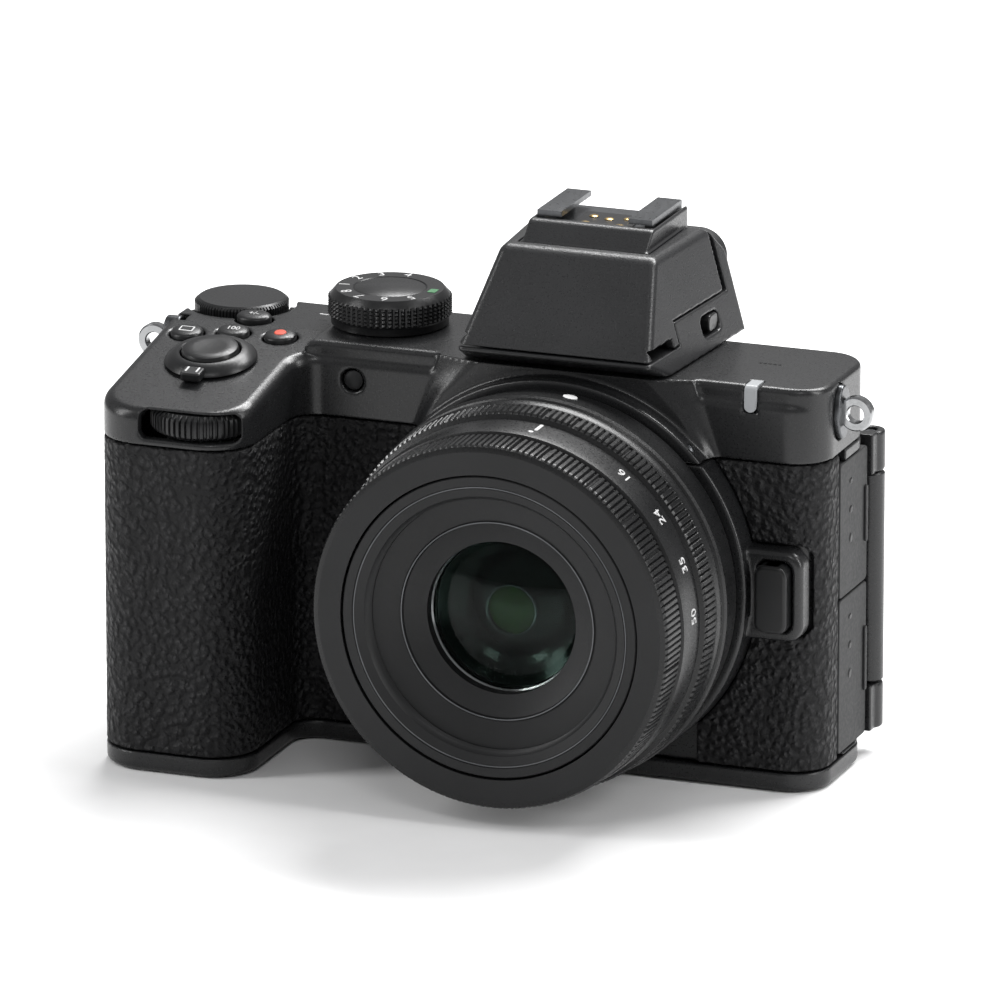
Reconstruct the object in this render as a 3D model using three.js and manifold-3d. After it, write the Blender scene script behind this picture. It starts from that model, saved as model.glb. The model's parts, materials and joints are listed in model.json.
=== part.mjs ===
// A compact interchangeable-lens camera with a standard zoom lens, as an assembly of separate pieces.
// Millimetres. +X runs to the port side, -Y out of the lens, +Z up.
// The origin is on the base plane, under the optical axis, in the plane of the image sensor.
import * as THREE from "three";
import { mergeVertices } from "three/addons/utils/BufferGeometryUtils.js";
import { ConvexGeometry } from "three/addons/geometries/ConvexGeometry.js";
import Module from "manifold-3d";

const wasm = await Module();
wasm.setup();

// ---------------------------------------------------------------- driving dimensions

const gap = 0.3; // clearance between neighbouring pieces
const wall = 2; // thickness of the moulded covers
const skin = 0.9; // thickness of the leather-grained rubber
const ringSides = 44; // sides of a large round piece
const knobSides = 24; // sides of a dial
const buttonSides = 12; // sides of a button

// Camera body in plan: the main block and the hand grip at its left.
const body = { left: -78, right: 47, front: -10, rear: 16.8, frontCorner: 8, rearCorner: 5 };
const grip = { front: -38.3, right: -49.8, root: -47.8, corner: 11, innerCorner: 7.5, rootCorner: 4 };

// Levels of the body from the base up.
const baseHeight = 3.4; // bottom plate
const bodyTop = 73;
const coverSeam = bodyTop - 13.6; // seam between the leathered casing and the top cover
const gripTop = bodyTop - 0.6; // level of the grip's top behind the slope
const gripSlope = 0.17; // fall of the grip's top towards its front, per unit of length

// Optical axis and lens mount.
const axisHeight = 36.6;
const flangeFocal = 16; // mount face to sensor plane
const throatRadius = 27.5;
const mountRadius = 31.8;
const mountThickness = 2.6;
const collarRadius = 35.4;
const collarStep = 0.6; // collar face behind the mount face

// Lens, measured forward from the mount face.
const lensLength = 32;
const innerBarrelRadius = 27;
const innerBarrelWall = 1.6;
const sleeveWall = 1.6;
const sleeveRadius = innerBarrelRadius + sleeveWall + 1.1; // fixed sleeve that carries the two rings
const lensFrontRadius = sleeveRadius + 3.1;
const lensMaxRadius = lensFrontRadius + 2.4;
const lensRearRadius = lensMaxRadius - 1.1;
const filterRadius = innerBarrelRadius - 4.2;
const fixedBarrelLength = 9.4;
const bayonetReach = 4.6; // how far the lens reaches into the mount
const controlRingLength = 7.1;
const glassRadius = 13.4;
const rearGlassRadius = 12;
const knurlDepth = 0.45;

// Viewfinder hump: front edge, top and sides, and its flare towards the rear.
const hump = {
  chinY: -16.2,
  chinTop: bodyTop + 4,
  topFrontY: -4.2,
  top: bodyTop + 19.4,
  rear: 24,
  halfBottomFront: 17.7,
  halfBottomRear: 21.4,
  halfTopFront: 14.3,
  halfTopRear: 16,
  rearTopDrop: 5,
};
const plinth = { half: 11.6, front: -1.1, frontTop: 2.4, rear: 20, top: hump.top + 3.2 };
const shoe = {
  half: 10.7,
  slotHalf: 9.3,
  lipHalf: 6.2,
  front: 4.3,
  rear: 19.4,
  floor: hump.top + 1,
  lip: 0.95,
  top: hump.top + 4.4,
};
const shoeFloorThickness = 0.6;

// Pop-up flash head, which turns about a cross pin at its rear top.
const flash = {
  pivotY: 17.3,
  pivotZ: hump.top - 1.8,
  crossRadius: 18.9,
  armInner: 12.2,
  armSeam: hump.top - 11.1,
  armStep: -3.2,
};
const flashWall = 1.6;
const flashSwing = 1.6; // room behind the flash head for its turning corner
const slider = {
  y: 10.4,
  z: hump.chinTop + 0.4,
  halfY: 2.2,
  halfZ: 1.5,
  slotHalfY: 3.6,
  stand: 0.9,
  depth: 1.5,
};
const flashWindow = { half: 12, rear: -5.6, thickness: 1.5 };

// Eyepiece.
const eyepiece = {
  half: 16.5,
  bottom: bodyTop - 6.5,
  top: hump.top - 2.4,
  windowHalf: 11,
  windowBottom: bodyTop,
  windowTop: bodyTop + 12,
};
const eyecupRear = 28;
const eyecupWall = 2.4;

// Dials.
const modeDial = { x: -39, y: 6.1, radius: 11, height: 6.2 };
const rearDial = { x: -69.3, y: 11.5, radius: 8.4, height: 2.8, top: bodyTop + 0.4 };
const frontDial = { x: -60, y: -29.1, radius: 9.5, bottom: coverSeam + 1.7, height: 4.4, windowHalf: 8.8 };
const diopter = { y: 18.5, z: bodyTop + 3.8, radius: 3.6, length: 2.4 };

// Buttons on the grip's top: centre and half sizes across and along, and stand above the cover.
const shutter = {
  x: -63.8,
  y: -16.6,
  radius: 5.1,
  ringRadius: 8.2,
  ringHeight: 1.6,
  stand: 3.1,
  depth: 1.6,
};
const topButtons = {
  record_button: { x: -55.4, y: -5.2, halfX: 2.9, halfY: 2.9 },
  iso_button: { x: -64.2, y: -5.4, halfX: 2.9, halfY: 2.4 },
  picture_button: { x: -72.2, y: -7.4, halfX: 2.9, halfY: 2.7 },
};
const exposureButton = { x: -63.2, y: 1.9, halfX: 3.2, halfY: 2.2 };
const buttonStand = 0.8;
const buttonDepth = 3.2; // length of a button below the cover's surface

// Rear controls, in the plane of the rear casing: centre across and up, and radius.
const rearButtons = {
  ael_button: { x: -38, z: coverSeam + 4.6, radius: 2.6 },
  display_button: { x: -37, z: 53.5, radius: 2.3 },
  info_button: { x: -50, z: 53.5, radius: 2.5 },
  zoom_in_button: { x: -37, z: 26, radius: 2.4 },
  zoom_out_button: { x: -37, z: 18.5, radius: 2.4 },
  menu_button: { x: -45.5, z: 14, radius: 2.5 },
  playback_button: { x: -54.5, z: 14, radius: 2.5 },
  delete_button: { x: -63.5, z: 14, radius: 2.5 },
};
const selector = { x: -48.5, z: 38.5, radius: 9.2, okRadius: 3.9, recess: 1.3 };
const thumbRest = { left: -76, right: -60.5, bottom: 26, top: coverSeam - 2.4, stand: 2.6 };

// Monitor, its vertical hinge and the swing clearance.
const monitor = { left: -31, bottom: 6.5, top: coverSeam + 1.6, front: 17.3, rear: 22.2, corner: 3 };
const hinge = {
  x: body.right - 1.1,
  y: 19.7,
  radius: 2.6,
  pin: 0.9,
  armBottom: 12.8,
  armTop: coverSeam - 8.4,
  bottom: 4.2,
  top: coverSeam - 0.8,
};
const monitorGlass = { border: 3.5, thickness: 1 };

// Ports, battery and card.
const port = { front: 0.6, rear: 15.8, bottom: 4.4, split: 32.6, top: coverSeam - 2.2, thickness: 1.2 };
const battery = {
  left: -73,
  right: -57,
  front: -32,
  rear: 2,
  bottom: baseHeight + 0.4,
  top: coverSeam - 5.4,
};
const batteryDoor = { left: -75, right: -52.6, front: -34, rear: 6, thickness: 1.6 };
const card = { left: -55.6, right: -53.5, front: -22, rear: 2, bottom: 6, top: 38 };

// Tripod socket, 1/4 inch.
const tripod = { y: 4.6, boreRadius: 3.2, radius: 5.8, height: 6.5 };

// Lens release beside the mount.
const release = {
  x: 39.8,
  halfX: 3,
  halfZ: 6.1,
  front: -15.2,
  bumpFront: -13.2,
  bumpRight: 44.8,
  bumpHalf: 8.2,
};
const releasePin = { x: 29.7, radius: 1 };

// Strap lugs.
const lug = {
  y: 0,
  z: bodyTop - 5.8,
  radius: 3.1,
  hole: 1.5,
  thickness: 2,
  reach: 3.1,
  bossHalfY: 3,
  bossHalfZ: 4.8,
};

// Indicator lamp in the right shoulder and focus lamp in the left one.
const tally = { x: body.right - 13, width: 2.2, top: bodyTop - 4.6, rear: -5.8, depth: 0.7 };
const focusLamp = { x: -39.9, z: bodyTop - 6.5, radius: 1.8 };

// Imaging parts inside.
const sensor = { halfX: 17, halfZ: 14, front: 0.2, rear: 3, glassHalfX: 12, glassHalfZ: 8 };
const shutterUnit = { halfX: 26, halfZ: 22, front: -5.5, rear: -1.5, gateHalfX: 12.5, gateHalfZ: 8.6 };
const mainBoard = {
  left: -46,
  right: body.right - 7,
  front: 10.6,
  rear: 12,
  bottom: 8,
  top: coverSeam - 3.4,
};
const chassis = {
  left: -47,
  right: body.right - 5,
  front: 4.6,
  rear: 6.6,
  bottom: 7.5,
  top: coverSeam - 2.4,
};

// ---------------------------------------------------------------- materials

function finish(color, roughness, metalness) {
  return new THREE.MeshStandardMaterial({ color, roughness, metalness });
}

const satinBlack = () => finish(0x2b2c2e, 0.55, 0.0);
const leatherBlack = () => finish(0x202122, 0.8, 0.0);
const rubberBlack = () => finish(0x18191a, 0.85, 0.0);
const knobBlack = () => finish(0x232426, 0.45, 0.0);
const lensBlack = () => finish(0x1c1d1e, 0.4, 0.0);
const chrome = () => finish(0xc8cacc, 0.18, 1.0);
const steel = () => finish(0x8d9093, 0.35, 1.0);
const glassTint = () => finish(0x16352f, 0.05, 0.0);
const clearTint = () => finish(0x9fb0b4, 0.1, 0.0);
const boardGreen = () => finish(0x1f5a3a, 0.6, 0.0);
const magnesium = () => finish(0x5c5f62, 0.5, 0.8);
const packGrey = () => finish(0x4a4c50, 0.6, 0.0);
const lampMilk = () => finish(0xd8dde0, 0.2, 0.0);

// ---------------------------------------------------------------- solids

// A closed geometry as a solid; a profile drawn the other way round is turned to face out.
function toSolid(geometry) {
  const bare = geometry.clone();
  bare.deleteAttribute("normal");
  bare.deleteAttribute("uv");
  const merged = mergeVertices(bare, 1e-4);
  const index = merged.index.array;
  const triangles = [];
  for (let i = 0; i < index.length; i += 3) {
    const [a, b, c] = [index[i], index[i + 1], index[i + 2]];
    if (a !== b && b !== c && c !== a) triangles.push(a, b, c);
  }
  const vertProperties = new Float32Array(merged.attributes.position.array);
  const build = (list) => {
    const mesh = new wasm.Mesh({ numProp: 3, vertProperties, triVerts: new Uint32Array(list) });
    return new wasm.Manifold(mesh);
  };
  const solid = build(triangles);
  if (solid.volume() > 0) return solid;
  for (let i = 0; i < triangles.length; i += 3) {
    [triangles[i + 1], triangles[i + 2]] = [triangles[i + 2], triangles[i + 1]];
  }
  return build(triangles);
}

function toGeometry(solid) {
  const mesh = solid.getMesh();
  const geometry = new THREE.BufferGeometry();
  geometry.setAttribute("position", new THREE.BufferAttribute(new Float32Array(mesh.vertProperties), 3));
  geometry.setIndex(new THREE.BufferAttribute(new Uint32Array(mesh.triVerts), 1));
  geometry.computeVertexNormals();
  return geometry;
}

function box(x0, x1, y0, y1, z0, z1) {
  const geometry = new THREE.BoxGeometry(x1 - x0, y1 - y0, z1 - z0);
  geometry.translate((x0 + x1) / 2, (y0 + y1) / 2, (z0 + z1) / 2);
  return toSolid(geometry);
}

// A closed outline of corners [across, up, radius], each rounded to its radius.
function outline(corners) {
  const shape = new THREE.Shape();
  const at = (i) => new THREE.Vector2(...corners[(i + corners.length) % corners.length].slice(0, 2));
  corners.forEach(([x, y, radius], i) => {
    const here = new THREE.Vector2(x, y);
    const towards = at(i - 1).sub(here).normalize();
    const onwards = at(i + 1).sub(here).normalize();
    const half = Math.acos(THREE.MathUtils.clamp(towards.dot(onwards), -1, 1)) / 2;
    const reach = radius / Math.tan(half);
    const start = here.clone().addScaledVector(towards, reach);
    const end = here.clone().addScaledVector(onwards, reach);
    if (i === 0) shape.moveTo(start.x, start.y);
    else shape.lineTo(start.x, start.y);
    if (radius > 0) {
      const inward = towards.clone().add(onwards).normalize();
      const centre = inward.multiplyScalar(radius / Math.sin(half)).add(here);
      const a0 = Math.atan2(start.y - centre.y, start.x - centre.x);
      const a1 = Math.atan2(end.y - centre.y, end.x - centre.x);
      const clockwise = towards.cross(onwards) > 0;
      shape.absarc(centre.x, centre.y, radius, a0, a1, clockwise);
    }
  });
  shape.closePath();
  return shape;
}

function rectangle(x0, x1, y0, y1, radius) {
  return outline([[x0, y0, radius], [x1, y0, radius], [x1, y1, radius], [x0, y1, radius]]);
}

function ellipse(x, y, halfX, halfY) {
  const shape = new THREE.Shape();
  shape.absellipse(x, y, halfX, halfY, 0, 2 * Math.PI, false, 0);
  return shape;
}

function extrude(shape, length, curveSegments) {
  return new THREE.ExtrudeGeometry(shape, { depth: length, bevelEnabled: false, curveSegments });
}

// A plan outline raised from z0 to z1.
function prismZ(shape, z0, z1, curveSegments = 4) {
  return toSolid(extrude(shape, z1 - z0, curveSegments).translate(0, 0, z0));
}

// A side outline (y, z) run from x0 to x1.
function prismX(shape, x0, x1, curveSegments = 4) {
  const axes = new THREE.Matrix4().makeBasis(
    new THREE.Vector3(0, 1, 0),
    new THREE.Vector3(0, 0, 1),
    new THREE.Vector3(1, 0, 0),
  );
  return toSolid(extrude(shape, x1 - x0, curveSegments).applyMatrix4(axes).translate(x0, 0, 0));
}

// A rectangular opening about the optical axis, run from y0 to y1.
function gateBlock(halfX, halfZ, y0, y1) {
  return box(-halfX, halfX, y0, y1, axisHeight - halfZ, axisHeight + halfZ);
}

// A front outline (x, z) run from y0 to y1.
function prismY(shape, y0, y1, curveSegments = 4) {
  const axes = new THREE.Matrix4().makeBasis(
    new THREE.Vector3(1, 0, 0),
    new THREE.Vector3(0, 0, 1),
    new THREE.Vector3(0, -1, 0),
  );
  return toSolid(extrude(shape, y1 - y0, curveSegments).applyMatrix4(axes).translate(0, y1, 0));
}

// A profile of [radius, along] turned about the Y axis.
function turned(profile, sides) {
  const points = profile.map(([radius, along]) => new THREE.Vector2(radius, along));
  return new THREE.LatheGeometry(points, sides);
}

// A ring or disc about the optical axis; its profile closes on itself unless it touches the axis.
function turnedOnAxis(profile, sides = ringSides) {
  const closed = profile[0][0] > 0 ? [...profile, profile[0]] : profile;
  return toSolid(turned(closed, sides).translate(0, 0, axisHeight));
}

function tube(outer, inner, y0, y1, sides = ringSides) {
  return turnedOnAxis([[inner, y0], [outer, y0], [outer, y1], [inner, y1]], sides);
}

function rod(radius, y0, y1, sides = ringSides) {
  return turnedOnAxis([[0, y0], [radius, y0], [radius, y1], [0, y1]], sides);
}

// Upright, crosswise and fore-and-aft cylinders.
function post(x, y, radius, z0, z1, sides = knobSides) {
  const geometry = new THREE.CylinderGeometry(radius, radius, z1 - z0, sides);
  return toSolid(geometry.rotateX(Math.PI / 2).translate(x, y, (z0 + z1) / 2));
}

function crossPin(y, z, radius, x0, x1, sides = buttonSides) {
  const geometry = new THREE.CylinderGeometry(radius, radius, x1 - x0, sides);
  return toSolid(geometry.rotateZ(Math.PI / 2).translate((x0 + x1) / 2, y, z));
}

function stud(x, z, radius, y0, y1, sides = buttonSides) {
  const geometry = new THREE.CylinderGeometry(radius, radius, y1 - y0, sides);
  return toSolid(geometry.translate(x, (y0 + y1) / 2, z));
}

// A block given by its named limits.
function block(size) {
  return box(size.left, size.right, size.front, size.rear, size.bottom, size.top);
}

function hull(points) {
  return toSolid(new ConvexGeometry(points.map((p) => new THREE.Vector3(...p))));
}

function join(...solids) {
  return solids.reduce((a, b) => a.add(b));
}

function cut(solid, ...tools) {
  return tools.reduce((a, b) => a.subtract(b), solid);
}

// ---------------------------------------------------------------- shared shapes

// The body and grip in plan, drawn in by an inset.
function bodyPlan(inset = 0) {
  const rounded = (radius) => Math.max(radius - inset, 0.6);
  return outline([
    [body.right - inset, body.front + inset, rounded(body.frontCorner)],
    [body.right - inset, body.rear - inset, rounded(body.rearCorner)],
    [body.left + inset, body.rear - inset, rounded(body.frontCorner)],
    [body.left + inset, grip.front + inset, rounded(grip.corner)],
    [grip.right - inset, grip.front + inset, rounded(grip.innerCorner)],
    [grip.root - inset, body.front + inset, grip.rootCorner + inset],
  ]);
}

// Height of the grip's sloping top at a given y.
function slopeHeight(y) {
  return gripTop + gripSlope * Math.min(y, 0);
}

// What lies above the grip's top, lowered by an offset.
function aboveGrip(offset = 0) {
  const front = grip.front - 20;
  const side = new THREE.Shape();
  side.moveTo(front, slopeHeight(front) - offset);
  side.lineTo(0, gripTop - offset);
  side.lineTo(body.rear + 20, gripTop - offset);
  side.lineTo(body.rear + 20, bodyTop + 30);
  side.lineTo(front, bodyTop + 30);
  side.closePath();
  const cap = prismX(side, body.left - 10, grip.root - 1.2);
  const flare = prismX(side, grip.root - 2, grip.root + grip.rootCorner + 2);
  const beforeBody = box(grip.root - 3, grip.root + 8, front - 1, body.front, 0, bodyTop + 40);
  return join(cap, flare.intersect(beforeBody));
}

// A frame on the grip's top: moves a piece built around the origin, top at z = 0, to its place.
const slopeAngle = Math.atan(gripSlope);

function onSlope(x, y) {
  return new THREE.Matrix4()
    .makeTranslation(x, y, slopeHeight(y))
    .multiply(new THREE.Matrix4().makeRotationX(slopeAngle));
}

function placed(geometry, matrix) {
  return toSolid(geometry.clone().applyMatrix4(matrix));
}

// The outside of the viewfinder hump, sides leaning in and flaring towards the rear.
function humpBlock(inset = 0) {
  const bottom = bodyTop + gap;
  const lean = (hump.halfBottomFront - hump.halfTopFront) / (hump.top - hump.chinTop);
  const low = (bottom - hump.chinTop) * -lean;
  const points = [];
  for (const side of [-1, 1]) {
    const across = (half) => side * (half - inset);
    points.push([across(hump.halfBottomFront + low), hump.chinY + inset, bottom]);
    points.push([across(hump.halfBottomFront), hump.chinY + inset, hump.chinTop]);
    points.push([across(hump.halfTopFront), hump.topFrontY + inset, hump.top - 0.6 - inset]);
    points.push([across(hump.halfTopFront - 1), hump.topFrontY + 1 + inset, hump.top - inset]);
    points.push([across(hump.halfBottomRear), hump.rear - inset, bottom]);
    points.push([across(hump.halfTopRear - 1), hump.rear - hump.rearTopDrop - inset, hump.top - inset]);
    points.push([across(hump.halfTopRear), hump.rear - inset, hump.top - hump.rearTopDrop - inset]);
  }
  return hull(points);
}

// The space that the flash head fills at rest, seen from the side and run from x0 to x1.
function flashSide(margin) {
  const rear = flash.pivotY + 1 + (margin ? flashSwing : 0);
  const side = new THREE.Shape();
  side.moveTo(hump.chinY - 5, hump.chinTop - margin);
  side.lineTo(flash.armStep + margin, hump.chinTop - margin);
  side.lineTo(flash.armStep + margin, flash.armSeam - margin);
  side.lineTo(rear, flash.armSeam - margin);
  side.lineTo(rear, hump.top + 10);
  side.lineTo(hump.chinY - 5, hump.top + 10);
  side.closePath();
  return side;
}

// ---------------------------------------------------------------- body covers

function chinBlock() {
  const z0 = coverSeam + gap;
  const lowHalf = hump.halfBottomFront + 2;
  return hull([
    [-lowHalf, body.front + 1, z0], [lowHalf, body.front + 1, z0],
    [-lowHalf, hump.chinY + 1, z0], [lowHalf, hump.chinY + 1, z0],
    [-lowHalf, body.front + 1, bodyTop], [lowHalf, body.front + 1, bodyTop],
    [-hump.halfBottomFront, hump.chinY, bodyTop], [hump.halfBottomFront, hump.chinY, bodyTop],
  ]);
}

function dialWell() {
  const low = rearDial.top - rearDial.height - gap;
  return post(rearDial.x, rearDial.y, rearDial.radius + gap, low, bodyTop + 9);
}

function frontDialWindow() {
  const d = frontDial;
  const z0 = d.bottom - gap;
  const z1 = d.bottom + d.height + gap;
  const mouth = box(d.x - d.windowHalf, d.x + d.windowHalf, grip.front - 1, d.y - d.radius / 2, z0, z1);
  return join(post(d.x, d.y, d.radius + gap, z0, z1, ringSides), mouth);
}

function buttonPlate(button, extra) {
  return ellipse(0, 0, button.halfX + extra, button.halfY + extra);
}

function buttonShaft(button, extra, z0, z1) {
  return extrude(buttonPlate(button, extra), z1 - z0, buttonSides / 2).translate(0, 0, z0);
}

function topButtonHole(button) {
  return placed(buttonShaft(button, gap, -12, 12), onSlope(button.x, button.y));
}

function mountBore(extra) {
  return rod(mountRadius + extra, body.front - 12, body.rear - wall - 6);
}

function tallySlot(extra) {
  const x0 = tally.x - tally.width / 2 - extra;
  const x1 = tally.x + tally.width / 2 + extra;
  const shape = new THREE.Shape();
  shape.moveTo(body.front - 4, tally.top - extra);
  shape.lineTo(body.front + tally.depth + extra, tally.top - extra);
  shape.lineTo(body.front + tally.depth + extra, bodyTop - tally.depth - extra);
  shape.lineTo(tally.rear + extra, bodyTop - tally.depth - extra);
  shape.lineTo(tally.rear + extra, bodyTop + 4);
  shape.lineTo(body.front - 4, bodyTop + 4);
  shape.closePath();
  return prismX(shape, x0, x1);
}

// The top cover: both shoulders, the grip's cap and the chin that carries the hump.
function topCover() {
  const z0 = coverSeam + gap;
  const outside = prismZ(bodyPlan(), z0, bodyTop).subtract(aboveGrip());
  const roomTop = bodyTop - wall;
  const room = prismZ(bodyPlan(wall), z0 - 1, roomTop).subtract(aboveGrip(wall + 0.4));
  const chin = chinBlock().subtract(rod(collarRadius + gap, hump.chinY - 6, body.front));
  const lensRoom = rod(lensMaxRadius + 1, hump.chinY - 6, -flangeFocal + 0.2);
  let cover = join(cut(outside, room), chin);
  const collarRoom = rod(collarRadius + gap, hump.chinY - 1, body.front + wall + 1);
  cover = cut(cover, lensRoom, collarRoom, mountBore(gap));
  cover = cut(cover, dialWell(), frontDialWindow(), tallySlot(gap));
  const lampRadius = focusLamp.radius + gap;
  const lampHole = stud(focusLamp.x, focusLamp.z, lampRadius, body.front - 1, body.front + wall + 1);
  cover = cut(cover, lampHole);
  cover = cut(cover, post(modeDial.x, modeDial.y, 3 + gap, bodyTop - 6, bodyTop + 1));
  cover = cut(cover, post(rearDial.x, rearDial.y, 2 + gap, coverSeam, bodyTop + 1, buttonSides));
  for (const button of [...Object.values(topButtons), exposureButton]) {
    cover = cut(cover, topButtonHole(button));
  }
  const shutterBore = shutter.radius + gap;
  const shutterHole = new THREE.CylinderGeometry(shutterBore, shutterBore, 24, buttonSides);
  cover = cut(cover, placed(shutterHole.rotateX(Math.PI / 2), onSlope(shutter.x, shutter.y)));
  for (const side of [-1, 1]) cover = cut(cover, lugRecess(side));
  return withRearButtonHoles(cover);
}

// The front casing: the plate that carries the mount, with the collar round it.
function frontShell() {
  const z0 = baseHeight + gap;
  const z1 = coverSeam;
  const plan = prismZ(bodyPlan(), z0, z1);
  const half = box(grip.root + gap, body.right + 1, body.front - 1, 3, z0 - 1, z1 + 1);
  const roomZone = box(grip.root + wall, body.right - wall - 1, body.front + wall, 4, z0 - 1, z1 + 1);
  const room = prismZ(bodyPlan(wall), z0 - 1, z1 + 1).intersect(roomZone);
  let shell = plan.intersect(half).subtract(room);
  const collarRear = body.front + wall;
  const collarZone = box(-collarRadius - 1, collarRadius + 1, -flangeFocal, collarRear + 1, z0, bodyTop);
  const bump = releaseBump(0, release.bumpFront, body.front + 0.5);
  const collar = rod(collarRadius, -flangeFocal + collarStep, collarRear).intersect(collarZone);
  shell = join(shell, collar, bump);
  shell = cut(shell, mountBore(gap), leatherRecess(), gripPanelRecess());
  shell = cut(shell, releaseSlot(gap), portRecess(gap, true));
  return shell;
}

// Where the leather panel beside the mount lies, wrapping the front corner.
function leatherBand(inset) {
  const z0 = baseHeight + gap + inset;
  const z1 = coverSeam - inset;
  const left = collarRadius - 11 + inset;
  const wrap = box(left, body.right + 1, body.front - 1, port.front - gap - inset, z0, z1);
  const behind = prismZ(bodyPlan(skin + (inset ? 0 : gap)), z0 - 1, z1 + 1);
  const shape = prismZ(bodyPlan(), z0, z1).subtract(behind);
  return shape.intersect(wrap);
}

// The raised block that carries the lens release, run from y0 to y1.
function releaseBump(extra, y0, y1) {
  const x0 = lensMaxRadius - 6 - extra;
  const x1 = release.bumpRight + extra;
  const halfZ = release.bumpHalf + extra;
  return prismY(rectangle(x0, x1, axisHeight - halfZ, axisHeight + halfZ, 3), y0, y1);
}

function bumpClearance(extra) {
  return releaseBump(extra, body.front - 4, body.front + 4);
}

function leatherRecess() {
  const collar = rod(collarRadius, body.front - 4, body.front + skin + 0.4);
  return cut(leatherBand(0), collar, bumpClearance(0));
}

function frontLeather() {
  const collar = rod(collarRadius + gap, body.front - 4, body.front + skin + 1);
  return cut(leatherBand(gap / 2), collar, bumpClearance(gap));
}

// The leathered panel between grip and mount is one piece with the grip's rubber.
function gripPanel(margin) {
  const z0 = baseHeight + gap;
  const over = margin ? 1 : 0;
  return box(
    grip.root - 0.5,
    -collarRadius + 12 + margin,
    body.front - over,
    body.front + skin + margin,
    z0 - over,
    coverSeam + over,
  );
}

function gripPanelRecess() {
  return cut(gripPanel(gap), rod(collarRadius, body.front - 4, body.front + skin + 1));
}

// The grip: a rubber-covered hollow that holds the battery.
function gripRubber() {
  const z0 = baseHeight + gap;
  const z1 = coverSeam;
  const outside = prismZ(bodyPlan(), z0, z1);
  const zone = box(body.left - 1, grip.root, grip.front - 1, 3, z0 - 1, z1 + 1);
  const room = prismZ(bodyPlan(wall), z0 - 1, z1 + 1);
  const panel = cut(gripPanel(0), rod(collarRadius + gap, body.front - 4, body.front + skin + 1));
  const rootWall = box(grip.root - wall - 2, grip.root, body.front + skin + gap, 3, z0, z1);
  const opening = box(battery.left - gap, card.right + gap, battery.front, 4, z0 - 1, z1 + 1);
  const grown = outside.intersect(zone).subtract(room);
  const inner = box(grip.root - wall - 2, grip.root, body.front, body.front + skin, z0, z1);
  const packSpace = opening.intersect(box(body.left, grip.root - 3, grip.front, 4, 0, bodyTop));
  return cut(join(grown, inner, panel), packSpace, rootWall);
}

// The rear casing, with the two fixed knuckles of the monitor hinge.
function rearShell() {
  const z0 = baseHeight + gap;
  const z1 = coverSeam;
  const plan = prismZ(bodyPlan(), z0, z1);
  const half = box(body.left - 1, body.right + 1, 3 + gap, body.rear + 1, z0 - 1, z1 + 1);
  const roomZone = box(body.left, body.right - wall - 1, 2, body.rear, z0 - 1, z1 + 1);
  const room = prismZ(bodyPlan(wall), z0 - 1, z1 + 1).intersect(roomZone);
  const knuckles = [
    [hinge.bottom, hinge.armBottom - gap],
    [hinge.armTop + gap, hinge.top],
  ].map(([low, high]) => {
    const barrel = post(hinge.x, hinge.y, hinge.radius, low, high, knobSides);
    const webRight = hinge.x + hinge.radius - 0.8;
    const web = box(hinge.x - hinge.radius, webRight, body.rear - 1, hinge.y, low, high);
    return join(barrel, web);
  });
  let shell = join(cut(plan.intersect(half), room), ...knuckles);
  const pinBottom = hinge.bottom + 1.2;
  shell = cut(shell, post(hinge.x, hinge.y, hinge.pin + gap, pinBottom, hinge.top + 1, buttonSides));
  shell = cut(shell, portRecess(gap, false));
  shell = withRearButtonHoles(shell);
  const s = selector;
  const okHole = stud(s.x, s.z, s.okRadius + gap, body.rear - wall - 1, body.rear + 1);
  const dish = stud(s.x, s.z, s.radius + gap, body.rear - s.recess, body.rear + 1, knobSides);
  return cut(shell, okHole, dish);
}

function withRearButtonHoles(shell) {
  const hole = (b) => stud(b.x, b.z, b.radius + gap, body.rear - wall - 1, body.rear + 1);
  return cut(shell, ...Object.values(rearButtons).map(hole));
}

// The bottom plate, with the battery door's opening and the tripod socket's hole.
function bottomPlate() {
  const plate = prismZ(bodyPlan(), 0, baseHeight);
  const d = batteryDoor;
  const doorHole = box(d.left - gap, d.right + gap, d.front - gap, d.rear + gap, -1, d.thickness + gap);
  const packFront = battery.front - gap;
  const packHole = box(battery.left - gap, card.right + gap, packFront, battery.rear + gap, -1, 9);
  return cut(plate, doorHole, packHole, post(0, tripod.y, tripod.radius + gap, -1, baseHeight + 1));
}

function batteryDoorPiece() {
  const d = batteryDoor;
  return prismZ(rectangle(d.left, d.right, d.front, d.rear, 2), 0, d.thickness);
}

function thumbRestPiece() {
  const t = thumbRest;
  const y = body.rear + gap;
  const rim = 3;
  return hull([
    [t.left, y, t.bottom], [t.right, y, t.bottom], [t.left, y, t.top], [t.right, y, t.top],
    [t.left + 1, y + 0.6, t.bottom + 1], [t.right - 1, y + 0.6, t.bottom + 1],
    [t.left + 1, y + 0.6, t.top - 1], [t.right - 1, y + 0.6, t.top - 1],
    [t.right - rim - 2, y + t.stand, t.top - rim], [t.right - rim, y + t.stand, t.bottom + rim],
    [t.right - rim - 4, y + t.stand, t.top - rim],
  ]);
}

// ---------------------------------------------------------------- viewfinder and flash

function shoePlinth() {
  const p = plinth;
  const block = hull([
    [-p.half, p.front, hump.top - 1], [p.half, p.front, hump.top - 1],
    [-p.half, p.frontTop, p.top], [p.half, p.frontTop, p.top],
    [-p.half, p.rear, hump.top - 1], [p.half, p.rear, hump.top - 1],
    [-p.half, p.rear, p.top], [p.half, p.rear, p.top],
  ]);
  return block;
}

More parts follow.
